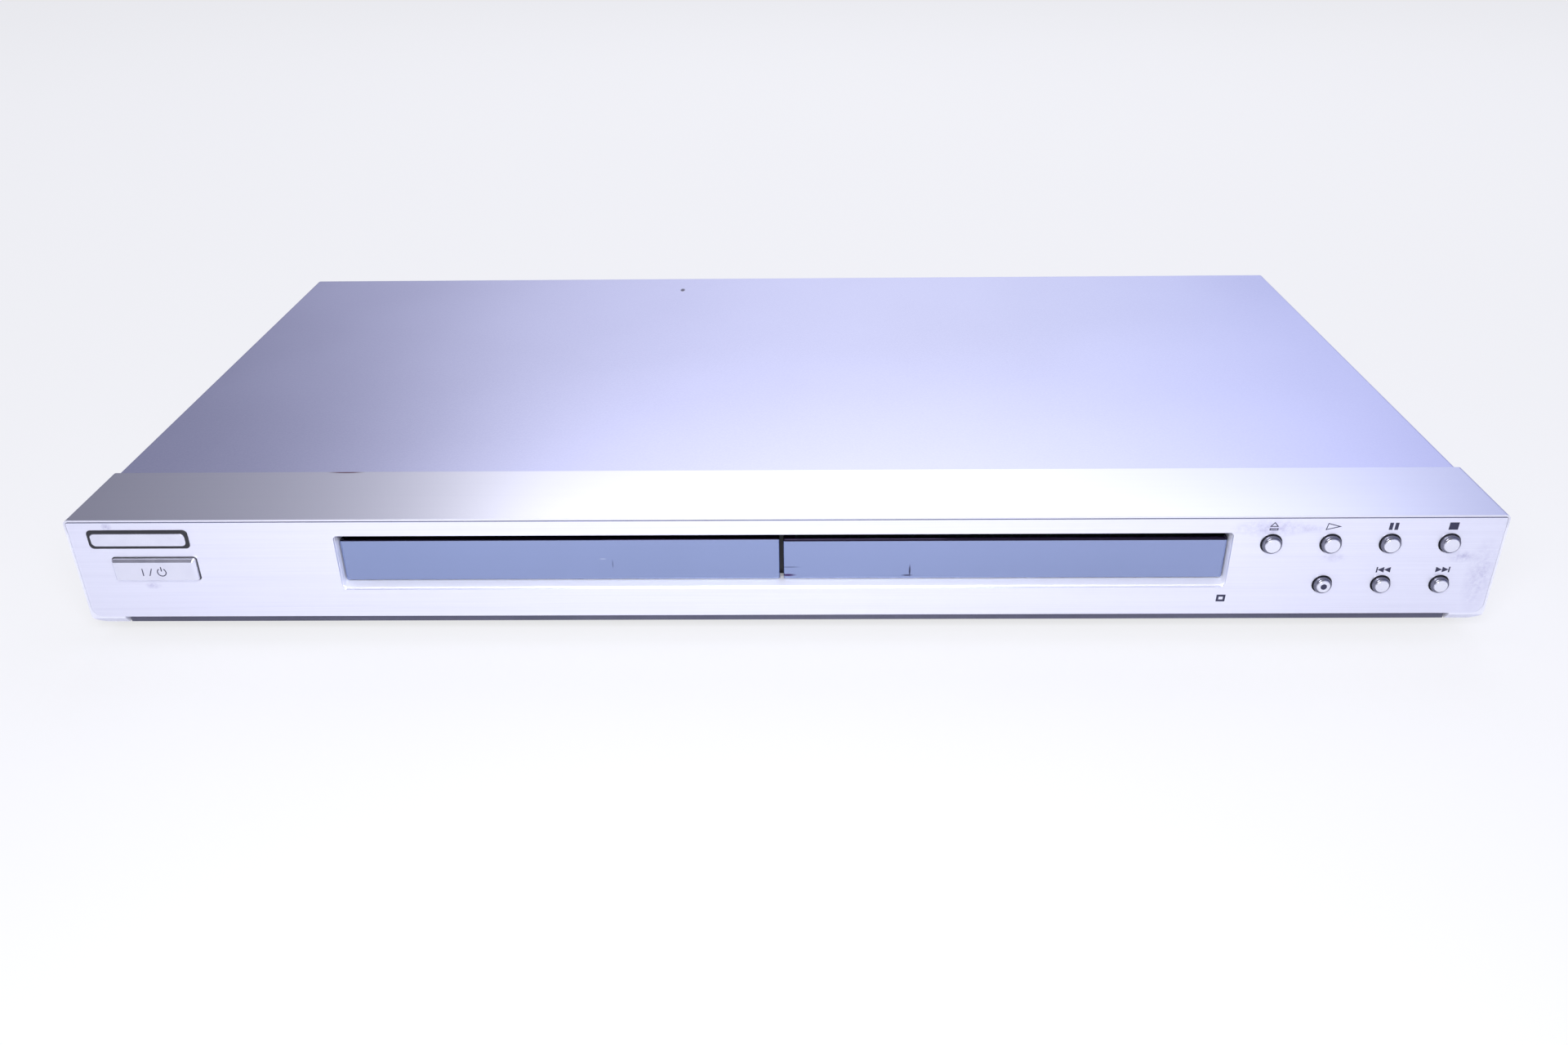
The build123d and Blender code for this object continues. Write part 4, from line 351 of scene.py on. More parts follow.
def mirror_pane():
    """Grey-blue half mirror of the tray's door and the display window."""
    made, tree, shader, place = new_finish("mirror_pane", 0.85, 0.6)
    tone = effect(tree, mottle, Vector=place, Clouds=9.0, Pebble=700.0)
    colour = mix_colour(tree, between(tree, tone["Cloud"], 0.0, 1.0), (0.28, 0.34, 0.52), (0.31, 0.37, 0.57))
    split = tree.nodes.new("ShaderNodeSeparateXYZ")
    tree.links.new(place, split.inputs[0])
    # Each pane has a black band along its top, painted shade for the gap and the shadow under the recess's
    # top lip: the window, right of the middle, a taller one than the door.
    for half_of_front, shade_band_height in (("GREATER_THAN", 0.95), ("LESS_THAN", 0.3)):
        side = maths(tree, half_of_front, split.outputs["X"], 0.0)
        top = maths(tree, "GREATER_THAN", split.outputs["Z"], window_top - shade_band_height * MM)
        colour = mix_colour(tree, maths(tree, "MULTIPLY", side, top), colour, (0.012, 0.008, 0.022))
    for centre, half, shade in pane_marks:
        colour = mix_colour(tree, spot(tree, place, centre, half, 0.5), colour, shade)
    connect(tree, shader, colour, between(tree, tone["Cloud"], 0.05, 0.09), tone["Grain"], 0.02, 0.00002)
    return made


def button_silver():
    """Satin silver of the keys."""
    made, tree, shader, place = new_finish("button_silver", 0.85, 0.5)
    tone = effect(tree, mottle, Vector=place, Clouds=200.0, Pebble=4000.0)
    colour = mix_colour(tree, between(tree, tone["Cloud"], 0.0, 1.0), (0.84, 0.84, 0.90), (0.90, 0.90, 0.95))
    connect(tree, shader, colour, between(tree, tone["Cloud"], 0.20, 0.26), tone["Grain"], 0.05, 0.00003)
    return made


def round_key_silver_painted_shade():
    """The round keys: a bright flat front, and sides darkened towards the back as painted shade."""
    made, tree, shader, place = new_finish("round_key_silver_painted_shade", 0.85, 0.5)
    tone = effect(tree, mottle, Vector=place, Clouds=200.0, Pebble=4000.0)
    front = mix_colour(tree, between(tree, tone["Cloud"], 0.0, 1.0), (0.88, 0.88, 0.93), (0.94, 0.94, 0.97))
    split = tree.nodes.new("ShaderNodeSeparateXYZ")
    tree.links.new(place, split.inputs[0])
    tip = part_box("button_play")[0].y
    # The sides darken from the tip backwards: painted shade on the keys' sides.
    shade_start_depth, full_shade_depth = 0.05 * MM, 0.5 * MM
    behind = node(
        tree, "ShaderNodeMapRange", Value=split.outputs["Y"],
        From_Min=tip + shade_start_depth, From_Max=tip + full_shade_depth, To_Min=0.0, To_Max=1.0,
    )
    colour = mix_colour(tree, behind.outputs["Result"], front, (0.20, 0.20, 0.25))
    connect(tree, shader, colour, between(tree, tone["Cloud"], 0.20, 0.26), tone["Grain"], 0.05, 0.00003)
    return made


def plain_finish(name, light, dark, metallic=0.0, rough=0.5, grain=2500.0, bump=0.15, clouds=40.0):
    """Moulded plastic, rubber or plated metal: two close tones, a pebble and an uneven sheen."""
    made, tree, shader, place = new_finish(name, metallic)
    tone = effect(tree, mottle, Vector=place, Clouds=clouds, Pebble=grain)
    colour = mix_colour(tree, between(tree, tone["Cloud"], 0.0, 1.0), dark, light)
    uneven = between(tree, tone["Cloud"], rough - 0.06, rough + 0.06)
    connect(tree, shader, colour, uneven, tone["Grain"], bump, 0.00006)
    return made


def circuit_board():
    """Green solder mask over copper tracks."""
    made, tree, shader, place = new_finish("circuit_board", 0.0)
    cells = node(tree, "ShaderNodeTexBrick", Vector=stretched(tree, place, (60, 60, 60)), Scale=3.0)
    cells.inputs["Mortar Size"].default_value = 0.06
    tone = effect(tree, mottle, Vector=place, Clouds=50.0, Pebble=2000.0)
    mask = mix_colour(tree, between(tree, tone["Cloud"], 0.0, 1.0), (0.03, 0.14, 0.06), (0.05, 0.19, 0.08))
    colour = mix_colour(tree, cells.outputs["Fac"], mask, (0.08, 0.27, 0.12))
    uneven = between(tree, tone["Grain"], 0.28, 0.38)
    connect(tree, shader, colour, uneven, cells.outputs["Fac"], 0.2, 0.00004)
    return made


def jack_colours():
    """Each phono socket's insert has its own usual colour, from left to right seen from the front."""
    made, tree, shader, place = new_finish("jack_colours", 0.0)
    low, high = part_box("phono_jack_inserts")
    split = tree.nodes.new("ShaderNodeSeparateXYZ")
    tree.links.new(place, split.inputs[0])
    along = node(tree, "ShaderNodeMapRange", Value=split.outputs["X"], From_Min=low.x, From_Max=high.x)
    usual = [
        (0.75, 0.28, 0.02), (0.62, 0.03, 0.03), (0.78, 0.78, 0.75), (0.80, 0.62, 0.03),
        (0.60, 0.03, 0.03), (0.03, 0.10, 0.50), (0.03, 0.35, 0.10),
    ]
    stops = [(n / len(usual), colour) for n, colour in enumerate(usual)]
    tone = effect(tree, mottle, Vector=place, Clouds=150.0, Pebble=3000.0)
    paler = between(tree, tone["Cloud"], 0.0, 0.12)
    colour = mix_colour(tree, paler, ramp(tree, along.outputs["Result"], stops, "CONSTANT"), (1, 1, 1))
    connect(tree, shader, colour, between(tree, tone["Cloud"], 0.35, 0.45), tone["Grain"], 0.05, 0.00003)
    return made


def printed_ink():
    """Dark blue-grey print of the symbols."""
    light, dark = (0.035, 0.035, 0.075), (0.02, 0.02, 0.05)
    return plain_finish("printed_ink", light, dark, 0.0, 0.5, 5000.0, 0.05, 300.0)


finishes = {
    "cover_paint": cover_paint(),
    "fascia_silver": fascia_silver(),
    "face_aluminium": face_aluminium(),
    "mirror_pane": mirror_pane(),
    "button_silver": button_silver(),
    "circuit_board": circuit_board(),
    "jack_colours": jack_colours(),
}
# Light tone, dark tone, then what differs of metallic, roughness, grain, bump and clouds.
plain_finishes = {
    "chassis_steel": ((0.17, 0.17, 0.22), (0.13, 0.13, 0.17), 0.85, 0.5, 900.0, 0.1),
    "rear_paint": ((0.035, 0.035, 0.038), (0.025, 0.025, 0.028), 0.1, 0.5, 3000.0, 0.3),
    "screw_steel": ((0.5, 0.5, 0.52), (0.36, 0.36, 0.39), 0.95, 0.3, 3000.0, 0.1, 300.0),
    "foot_rubber": ((0.03, 0.03, 0.032), (0.018, 0.018, 0.02), 0.0, 0.8, 1600.0, 0.3),
    "black_plastic": ((0.03, 0.03, 0.032), (0.018, 0.018, 0.02), 0.0, 0.55, 2600.0, 0.2),
    "display_glass": ((0.02, 0.05, 0.05), (0.01, 0.03, 0.035), 0.0, 0.12, 900.0, 0.02),
    "transformer_tape": ((0.62, 0.45, 0.06), (0.5, 0.35, 0.04), 0.0, 0.4, 700.0, 0.1),
    "capacitor_sleeve": ((0.03, 0.035, 0.07), (0.02, 0.02, 0.05), 0.0, 0.3, 900.0, 0.05),
    "heat_sink_aluminium": ((0.5, 0.5, 0.52), (0.4, 0.4, 0.42), 0.9, 0.4, 1500.0, 0.1),
    "contact_brass": ((0.62, 0.5, 0.26), (0.5, 0.4, 0.2), 0.95, 0.28, 2500.0, 0.05, 300.0),
    "contact_nickel": ((0.62, 0.6, 0.57), (0.5, 0.49, 0.47), 0.95, 0.22, 2500.0, 0.05, 200.0),
    "flat_cable_film": ((0.75, 0.77, 0.8), (0.6, 0.62, 0.66), 0.0, 0.4, 500.0, 0.05),
    "socket_plastic": ((0.72, 0.69, 0.58), (0.62, 0.59, 0.48), 0.0, 0.5),
    "loader_plastic": ((0.045, 0.045, 0.048), (0.03, 0.03, 0.032), 0.0, 0.5, 2200.0, 0.25),
    "tray_plastic": ((0.075, 0.075, 0.08), (0.055, 0.055, 0.06), 0.0, 0.5, 2600.0, 0.35),
    "bridge_steel": ((0.46, 0.46, 0.48), (0.36, 0.36, 0.38), 0.9, 0.38, 900.0, 0.1),
    "gear_plastic": ((0.8, 0.8, 0.74), (0.7, 0.7, 0.64), 0.0, 0.4),
    "pulley_plastic": ((0.7, 0.7, 0.66), (0.6, 0.6, 0.56), 0.0, 0.4),
    "belt_rubber": ((0.025, 0.025, 0.026), (0.015, 0.015, 0.016), 0.0, 0.75),
    "rod_steel": ((0.6, 0.6, 0.62), (0.5, 0.5, 0.52), 0.98, 0.15, 2500.0, 0.02),
    "motor_steel": ((0.48, 0.48, 0.5), (0.36, 0.36, 0.38), 0.95, 0.32, 1500.0, 0.08),
    "pickup_metal": ((0.26, 0.26, 0.28), (0.18, 0.18, 0.2), 0.8, 0.45, 1800.0, 0.2),
    "lens_glass": ((0.12, 0.16, 0.42), (0.08, 0.1, 0.3), 0.2, 0.06, 500.0, 0.01),
}
finishes.update({name: plain_finish(name, *values) for name, values in plain_finishes.items()})
ink = printed_ink()

for name, cad in nodes.items():
    cad.data.materials.clear()
    cad.data.materials.append(finishes[slot_of_node[name]])


# ================================================================ soft-edged pieces
def link(piece):
    bpy.context.scene.collection.objects.link(piece)
    return piece


def welded(source, name):
    """A clean mesh from a CAD node: merged corners and flat faces in one piece."""
    corners = [v.co[:] for v in source.data.vertices]
    triangles = [p.vertices[:] for p in source.data.polygons]
    mesh = bpy.data.meshes.new(name)
    mesh.from_pydata(corners, [], triangles)
    same_corner, same_plane = 0.002 * MM, math.radians(0.3)
    shape = bmesh.new()
    shape.from_mesh(mesh)
    bmesh.ops.remove_doubles(shape, verts=shape.verts, dist=same_corner)
    bmesh.ops.dissolve_limit(shape, angle_limit=same_plane, verts=shape.verts, edges=shape.edges)
    shape.to_mesh(mesh)
    shape.free()
    return mesh


def soft_edged(cad_name, name, width, finish=None):
    """Stands for a CAD node: the same form with small rounded edges."""
    mesh = welded(nodes[cad_name], name)
    mesh.materials.append(finish or finishes[slot_of_node[cad_name]])
    mesh.polygons.foreach_set("use_smooth", [True] * len(mesh.polygons))
    piece = link(bpy.data.objects.new(name, mesh))
    soft = piece.modifiers.new("soft edges", "BEVEL")
    soft.width = width
    soft.segments = 2
    soft.limit_method = "ANGLE"
    soft.angle_limit = math.radians(35)
    soft.harden_normals = True
    soft.use_clamp_overlap = True
    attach(piece, body_of_node[cad_name])
    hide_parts(cad_name)


for cad_name, name, width in (  # widths of the soft edges in mm
    ("top_cover", "cover_shell", 0.15),
    ("front_fascia", "fascia_moulding", 0.25),
    ("face_plate", "brushed_plate", 0.08),
    ("display_window", "window_pane", 0.16),
    ("tray_door", "door_pane", 0.16),
    ("power_button", "power_key", 0.45),
):
    soft_edged(cad_name, name, width * MM)

round_keys = ("eject", "play", "pause", "stop", "scan", "previous", "next")
key_finish = round_key_silver_painted_shade()
key_edge = 0.08 * MM
for use in round_keys:
    soft_edged(f"button_{use}", f"{use}_key", key_edge, key_finish)


# ================================================================ painted shade in the gaps round the keys, bare nameplate
gap_sunk = 0.35 * MM  # behind the face plate's front
gap_depth = 0.4 * MM


def key_centre(cad_name):
    low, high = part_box(cad_name)
    return (low.x + high.x) / 2, (low.z + high.z) / 2


def outline_frame(shape, outer, inner, centre, front, depth):
    """A flat frame between two outlines with as many corners each, its front face at front."""
    rings = [
        [shape.verts.new((centre[0] + x, y, centre[1] + z)) for x, z in outline]
        for y in (front, front + depth)
        for outline in (outer, inner)
    ]
    near_outer, near_inner, far_outer, far_inner = rings
    for n in range(len(outer)):
        for first, second in (
            (near_outer, near_inner), (near_inner, far_inner), (far_inner, far_outer), (far_outer, near_outer)
        ):
            shape.faces.new((first[n - 1], first[n], second[n], second[n - 1]))


def rounded_outline(width, height, corner, steps=6):
    """A rectangle with round corners, from its middle."""
    points = []
    for turn, (side, up) in enumerate(((1, 1), (-1, 1), (-1, -1), (1, -1))):
        for n in range(steps + 1):
            angle = math.pi / 2 * (turn + n / steps)
            points.append((
                side * (width / 2 - corner) + corner * math.cos(angle),
                up * (height / 2 - corner) + corner * math.sin(angle),
            ))
    return points


def mesh_piece(name, shape, finish, body):
    """Turns a bmesh into a finished piece with outward faces."""
    bmesh.ops.recalc_face_normals(shape, faces=shape.faces)
    mesh = bpy.data.meshes.new(name)
    shape.to_mesh(mesh)
    shape.free()
    mesh.materials.append(finish)
    piece = link(bpy.data.objects.new(name, mesh))
    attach(piece, body)


def power_key_gap_shade():
    """A black frame just behind the face plate's front, put round the power key as painted shade for its gap.
    """
    shape = bmesh.new()
    key_width, key_height, gap = 25.4 * MM, 7.6 * MM, 0.35 * MM
    wider, narrower = 1.9 * gap, 0.15 * gap  # than the key, just inside the gap's two sides
    outer = rounded_outline(key_width + wider, key_height + wider, 1.1 * MM)
    inner = rounded_outline(key_width + narrower, key_height + narrower, 0.8 * MM)
    outline_frame(shape, outer, inner, key_centre("power_button"), face + gap_sunk, gap_depth)
    mesh_piece("power_key_gap_shade", shape, finishes["black_plastic"], "case")


def nameplate():
    """A bare raised badge: a dark backing with a bright bevelled bar on it."""
    centre = (-193.6 * MM, 36.5 * MM)
    corner, bevel_depth, bevel_width = 1.4, 0.12, 0.14
    for name, width, height, proud, back, finish in (  # in mm
        ("badge_backing", 30.6, 6.3, 0.25, 0.0, "black_plastic"),
        ("badge_bar", 28.6, 4.3, 0.6, 0.25, "button_silver"),
    ):
        shape = bmesh.new()
        stages = ((back, 0.0), (proud - bevel_depth, 0.0), (proud, bevel_width))
        rings = []
        for depth, shrink in stages:
            outline = rounded_outline((width - 2 * shrink) * MM, (height - 2 * shrink) * MM, corner * MM)
            front = face - depth * MM
            rings.append([shape.verts.new((centre[0] + x, front, centre[1] + z)) for x, z in outline])
        for near, far in zip(rings, rings[1:]):
            for n in range(len(near)):
                shape.faces.new((near[n - 1], near[n], far[n], far[n - 1]))
        shape.faces.new(rings[0])
        shape.faces.new(rings[-1])
        mesh_piece(name, shape, finishes[finish], "case")


power_key_gap_shade()
nameplate()


# ================================================================ repeats made with Geometry Nodes
def repeat_tree(name, inputs):
    """A Geometry Nodes tree with named inputs; returns the tree, its input node and its output node."""
    tree = bpy.data.node_groups.new(name, "GeometryNodeTree")
    tree.interface.new_socket("Geometry", in_out="INPUT", socket_type="NodeSocketGeometry")
    for label, kind in inputs:
        tree.interface.new_socket(label, in_out="INPUT", socket_type=f"NodeSocket{kind}")
    tree.interface.new_socket("Geometry", in_out="OUTPUT", socket_type="NodeSocketGeometry")
    return tree, tree.nodes.new("NodeGroupInput"), tree.nodes.new("NodeGroupOutput")


def point_at(tree, **axes):
    """A vector from single values, by axis."""
    return node(tree, "ShaderNodeCombineXYZ", **axes).outputs[0]


def swept(tree, curve, width, thickness):
    """A closed strip of rectangular section along a curve."""
    section = node(tree, "GeometryNodeCurvePrimitiveQuadrilateral", Width=width, Height=thickness)
    made = tree.nodes.new("GeometryNodeCurveToMesh")
    tree.links.new(curve, made.inputs["Curve"])
    tree.links.new(section.outputs["Curve"], made.inputs["Profile Curve"])
    made.inputs["Fill Caps"].default_value = True
    return made.outputs["Mesh"]


def repeated(tree, points, form, finish, out, rotation=(0.0, 0.0, 0.0)):
    """Ends a tree: the form on every point, made real, in its finish."""
    copies = node(tree, "GeometryNodeInstanceOnPoints", Points=points, Instance=form, Rotation=rotation)
    real = node(tree, "GeometryNodeRealizeInstances", Geometry=copies.outputs["Instances"])
    coloured = node(tree, "GeometryNodeSetMaterial", Geometry=real.outputs["Geometry"])
    coloured.inputs["Material"].default_value = finish
    tree.links.new(coloured.outputs["Geometry"], out.inputs["Geometry"])


def grown(tree, values, points=()):
    """The plain mesh that a tree gives for these values, with its pattern's points where it reads them."""
    seed = bpy.data.meshes.new(f"{tree.name}_points")
    seed.from_pydata(points, [], [])
    holder = link(bpy.data.objects.new(tree.name, seed))
    grow = holder.modifiers.new(tree.name, "NODES")
    grow.node_group = tree
    for socket in tree.interface.items_tree:
        if socket.in_out == "INPUT" and socket.name in values:
            grow[socket.identifier] = values[socket.name]
    made = bpy.data.meshes.new_from_object(holder.evaluated_get(bpy.context.evaluated_depsgraph_get()))
    holder.modifiers.remove(grow)
    bpy.data.objects.remove(holder)
    return made


def key_gap_tree():
    """A black ring in the face plate's hole round each key whose centre is a point, as painted shade for the
    gap.
    """
    inputs = [("Radius", "Float"), ("Width", "Float"), ("Depth", "Float")]
    tree, given, out = repeat_tree("key_gap_shade_rings", inputs)
    sizes = given.outputs
    ring = node(tree, "GeometryNodeCurvePrimitiveCircle", Resolution=48, Radius=sizes["Radius"])
    strip = swept(tree, ring.outputs["Curve"], sizes["Width"], sizes["Depth"])
    upright = (math.pi / 2, 0.0, 0.0)
    repeated(tree, sizes["Geometry"], strip, finishes["black_plastic"], out, upright)
    return tree


def key_gap_shade_rings():
    """Black rings in the holes round the round keys, as painted shade for their gaps."""
    tree = key_gap_tree()
    shape = bmesh.new()
    width = 0.34 * MM
    upper_hole, lower_hole, clear = 3.3 * MM, 3.05 * MM, 0.02 * MM
    upper_keys, lower_keys = ("eject", "play", "pause", "stop"), ("scan", "previous", "next")
    for hole, uses in ((upper_hole, upper_keys), (lower_hole, lower_keys)):
        centres = [key_centre(f"button_{use}") for use in uses]
        points = [(x, face + gap_sunk + gap_depth / 2, z) for x, z in centres]
        radius = hole - clear - width / 2
        shape.from_mesh(grown(tree, {"Radius": radius, "Width": width, "Depth": gap_depth}, points))
    mesh_piece("key_gap_shade", shape, finishes["black_plastic"], "case")


def chip_leg_tree():
    """A row of bent legs along Y: each runs out along +X from the chip's side and down to the board."""
    tree, given, out = repeat_tree("chip_leg_row", [
        ("Count", "Int"), ("Pitch", "Float"), ("Reach", "Float"),
        ("Rise", "Float"), ("Width", "Float"), ("Thickness", "Float"),
    ])
    sizes = given.outputs
    half_reach = maths(tree, "MULTIPLY", sizes["Reach"], 0.5)
    bend = tree.nodes.new("GeometryNodeCurvePrimitiveBezierSegment")
    bend.inputs["Resolution"].default_value = 4
    for socket, place in (
        ("Start", point_at(tree, Z=sizes["Rise"])),
        ("Start Handle", point_at(tree, X=half_reach, Z=sizes["Rise"])),
        ("End Handle", point_at(tree, X=half_reach)),
        ("End", point_at(tree, X=sizes["Reach"])),
    ):
        tree.links.new(place, bend.inputs[socket])
    leg = swept(tree, bend.outputs["Curve"], sizes["Width"], sizes["Thickness"])
    fewer = maths(tree, "SUBTRACT", sizes["Count"], 1.0)
    first = maths(tree, "MULTIPLY", maths(tree, "MULTIPLY", fewer, sizes["Pitch"]), -0.5)
    row = tree.nodes.new("GeometryNodeMeshLine")
    tree.links.new(sizes["Count"], row.inputs["Count"])
    tree.links.new(point_at(tree, Y=first), row.inputs["Start Location"])
    tree.links.new(point_at(tree, Y=sizes["Pitch"]), row.inputs["Offset"])
    repeated(tree, row.outputs["Mesh"], leg, finishes["contact_nickel"], out)
    return tree


def chip_boxes():
    """The low and high corner of each chip on the main board, from left to right."""
    shape = bmesh.new()
    shape.from_mesh(welded(nodes["main_chips"], "chip_bodies"))
    waiting = set(shape.verts)
    boxes = []
    while waiting:
        found = [waiting.pop()]
        corners = []
        while found:
            corner = found.pop()
            corners.append(corner.co[:])
            beside = {edge.other_vert(corner) for edge in corner.link_edges} & waiting
            waiting -= beside
            found.extend(beside)
        boxes.append(tuple(Vector(pick(axis) for axis in zip(*corners)) for pick in (min, max)))
    shape.free()
    return sorted(boxes, key=lambda box: box[0][:])


def chip_legs():
    """Legs along all four sides of each chip, from half its height down to the board."""
    tree = chip_leg_tree()
    shape = bmesh.new()
    pitch, reach, width, thickness = 1.27 * MM, 1.5 * MM, 0.5 * MM, 0.18 * MM
    for low, high in chip_boxes():
        middle, half = (low + high) / 2, (high - low) / 2
        rise = half.z - thickness / 2
        for turn in range(4):
            out_side, along_side = (half.x, half.y) if turn % 2 == 0 else (half.y, half.x)
            values = {
                "Count": int((2 * along_side - pitch) / pitch), "Pitch": pitch, "Reach": reach,
                "Rise": rise, "Width": width, "Thickness": thickness,
            }
            row = grown(tree, values)
            foot = Vector((middle.x, middle.y, low.z + thickness / 2))
            side = Matrix.Rotation(turn * math.pi / 2, 4, "Z") @ Matrix.Translation((out_side, 0, 0))
            row.transform(Matrix.Translation(foot) @ side)
            shape.from_mesh(row)
    mesh_piece("chip_legs", shape, finishes["contact_nickel"], "case")


key_gap_shade_rings()
chip_legs()


# ================================================================ printed symbols
def drawn_in(points, line):
    """The corners of a convex outline moved inwards by a line's width."""
    middle = sum((Vector(p) for p in points), Vector((0, 0))) / len(points)
    inner = []
    for n, point in enumerate(points):
        here, before, after = Vector(point), Vector(points[n - 1]), Vector(points[(n + 1) % len(points)])
        first = (here - before).orthogonal().normalized()
        second = (after - here).orthogonal().normalized()
        if first.dot(middle - here) < 0:
            first, second = -first, -second
        inner.append(here + (first + second) * line / (1 + first.dot(second)))
    return inner


def print_shapes(name, shapes, centre, front, body, thickness=0.03 * MM):
    """Thin printed shapes on a face that looks to -Y.

    Each shape is (corner points in mm round the centre, line width in mm or None for a filled one)."""
    shape = bmesh.new()

    def drawn_corners(outline):
        return [shape.verts.new((centre[0] + x * MM, front, centre[1] + z * MM)) for x, z in outline]

    for points, line in shapes:
        corners = drawn_corners(points)
        if line:
            inner = drawn_corners(drawn_in(points, line))
            drawn = [
                shape.faces.new((corners[n - 1], corners[n], inner[n], inner[n - 1]))
                for n in range(len(corners))
            ]
        else:
            drawn = [shape.faces.new(corners)]
        bmesh.ops.recalc_face_normals(shape, faces=drawn)
        pulled = bmesh.ops.extrude_face_region(shape, geom=drawn)
        bmesh.ops.translate(
            shape,
            verts=[v for v in pulled["geom"] if isinstance(v, bmesh.types.BMVert)],
            vec=(0, -thickness, 0),
        )
    mesh_piece(name, shape, ink, body)


def slanted(points, slant=0.03):
    """Leans a symbol to the right, as the keys' print does."""
    return [(x + slant * z, z) for x, z in points]


def bar(x, width, height):
    """An upright rectangle whose middle is at x."""
    left, right, top = x - width / 2, x + width / 2, height / 2
    return [(left, -top), (right, -top), (right, top), (left, top)]


def arrow(x, length, height):
    """A triangle that points to +X, or to -X where length is negative, from its flat side at x."""
    return [(x, -height / 2), (x + length, 0), (x, height / 2)]


def ring_arc(radius, width, first, last, steps=20):
    """Corner points of an arc band from angle first to angle last, in degrees."""
    turns = [math.radians(first + (last - first) * n / steps) for n in range(steps + 1)]
    outer = [((radius + width / 2) * math.cos(t), (radius + width / 2) * math.sin(t)) for t in turns]
    inner = [((radius - width / 2) * math.cos(t), (radius - width / 2) * math.sin(t)) for t in turns]
    return outer + inner[::-1]


def raised(points, height):
    return [(x, z + height) for x, z in points]


def moved(points, along):
    return [(x + along, z) for x, z in points]


# Each key's symbol, in mm round a point above the key: outlines with a line width, or filled shapes.
thin_line = 0.26
symbol_lift = {"upper": 5.75, "lower": 4.95}
symbols = {
    "eject": [
        ([(-1.35, 0.0), (1.35, 0.0), (0, 1.6)], thin_line),
        (raised(bar(0, 2.6, 0.75), -0.85), thin_line),
    ],
    "play": [(slanted(arrow(-2.1, 4.4, 2.4), 0.2), thin_line)],
    "pause": [(slanted(bar(-0.82, 1.05, 2.4)), None), (slanted(bar(0.82, 1.05, 2.4)), None)],
    "stop": [(slanted(bar(0, 2.75, 2.45)), None)],
    "previous": [
        (slanted(bar(-2.0, 0.4, 1.9)), None),
        (arrow(0.1, -1.95, 1.9), None),
        (arrow(2.05, -1.95, 1.9), None),
    ],
    "next": [
        (slanted(bar(2.0, 0.4, 1.9)), None),
        (arrow(-0.1, 1.95, 1.9), None),
        (arrow(-2.05, 1.95, 1.9), None),
    ],
}
for use, shapes in symbols.items():
    x, z = key_centre(f"button_{use}")
    lift = symbol_lift["lower" if use in ("previous", "next") else "upper"]
    print_shapes(f"print_{use}", shapes, (x, z + lift * MM), face, "case")


def power_symbol():
    """The usual bar, stroke and broken ring of a power key."""
    x, z = key_centre("power_button")
    line = 0.3
    drop = 0.3  # of the symbol under the key's middle
    ring_place = 2.2
    ring = moved(ring_arc(1.3, line, 122, 418), ring_place)
    stem = moved(raised(bar(0, line, 1.5), 1.1), ring_place)
    stroke = moved(slanted(bar(0, line, 2.6), 0.4), -1.2)
    upright = moved(bar(0, line, 2.5), -3.6)
    shapes = [(outline, None) for outline in (ring, stem, stroke, upright)]
    print_shapes("print_power", shapes, (x, z - drop * MM), power_front, "power_button")


power_symbol()

sensor_mark_x = 134.0 * MM
sensor_mark_z = 14.6 * MM
print_shapes("sensor_mark", [(slanted(bar(0, 2.7, 2.4)), 0.7)], (sensor_mark_x, sensor_mark_z), face, "case")

# The scan key has a dark dot in the middle of its face.
scan_x, scan_z = key_centre("button_scan")
dot_radius = 0.95
dot_corners = 24
turns = [math.tau * n / dot_corners for n in range(dot_corners)]
dot = [(dot_radius * math.cos(turn), dot_radius * math.sin(turn)) for turn in turns]
print_shapes("scan_dot", [(dot, None)], (scan_x, scan_z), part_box("button_scan")[0].y, "button_scan")


# ================================================================ stage, light and camera
def stage_floor():
    """A flat white sheet under the player, with its soft shadow on it."""
    shown_white, mirrored_white = 0.74, 0.3  # how much of it glows to the camera and in reflections
    made = bpy.data.materials.new("white_sheet")
    made.use_nodes = True
    tree = made.node_tree
    tree.nodes.clear()
    out = tree.nodes.new("ShaderNodeOutputMaterial")
    place = tree.nodes.new("ShaderNodeTexCoord").outputs["Object"]
    cloud = noise(tree, place, 2.0, 2.0)
    colour = mix_colour(tree, cloud, (0.84, 0.85, 0.98), (0.90, 0.91, 1.0))
    lit = node(tree, "ShaderNodeBsdfDiffuse", Color=colour)
    glow = node(tree, "ShaderNodeEmission", Color=(1, 1, 1, 1), Strength=1.0)
    rays = tree.nodes.new("ShaderNodeLightPath")
    mirrored = maths(tree, "MAXIMUM", rays.outputs["Is Glossy Ray"], rays.outputs["Is Transmission Ray"])
    mirrored = maths(tree, "MULTIPLY", mirrored, mirrored_white)
    direct = maths(tree, "MULTIPLY", rays.outputs["Is Camera Ray"], shown_white)
    seen = maths(tree, "MAXIMUM", direct, mirrored)
    mixed = tree.nodes.new("ShaderNodeMixShader")
    tree.links.new(seen, mixed.inputs[0])
    tree.links.new(lit.outputs[0], mixed.inputs[1])
    tree.links.new(glow.outputs[0], mixed.inputs[2])
    tree.links.new(mixed.outputs[0], out.inputs["Surface"])
    half = 6.0
    mesh = bpy.data.meshes.new("floor_sheet")
    corners = [(-half, -half, 0), (half, -half, 0), (half, half, 0), (-half, half, 0)]
    mesh.from_pydata(corners, [], [(0, 1, 2, 3)])
    mesh.materials.append(made)
    link(bpy.data.objects.new("floor_sheet", mesh))


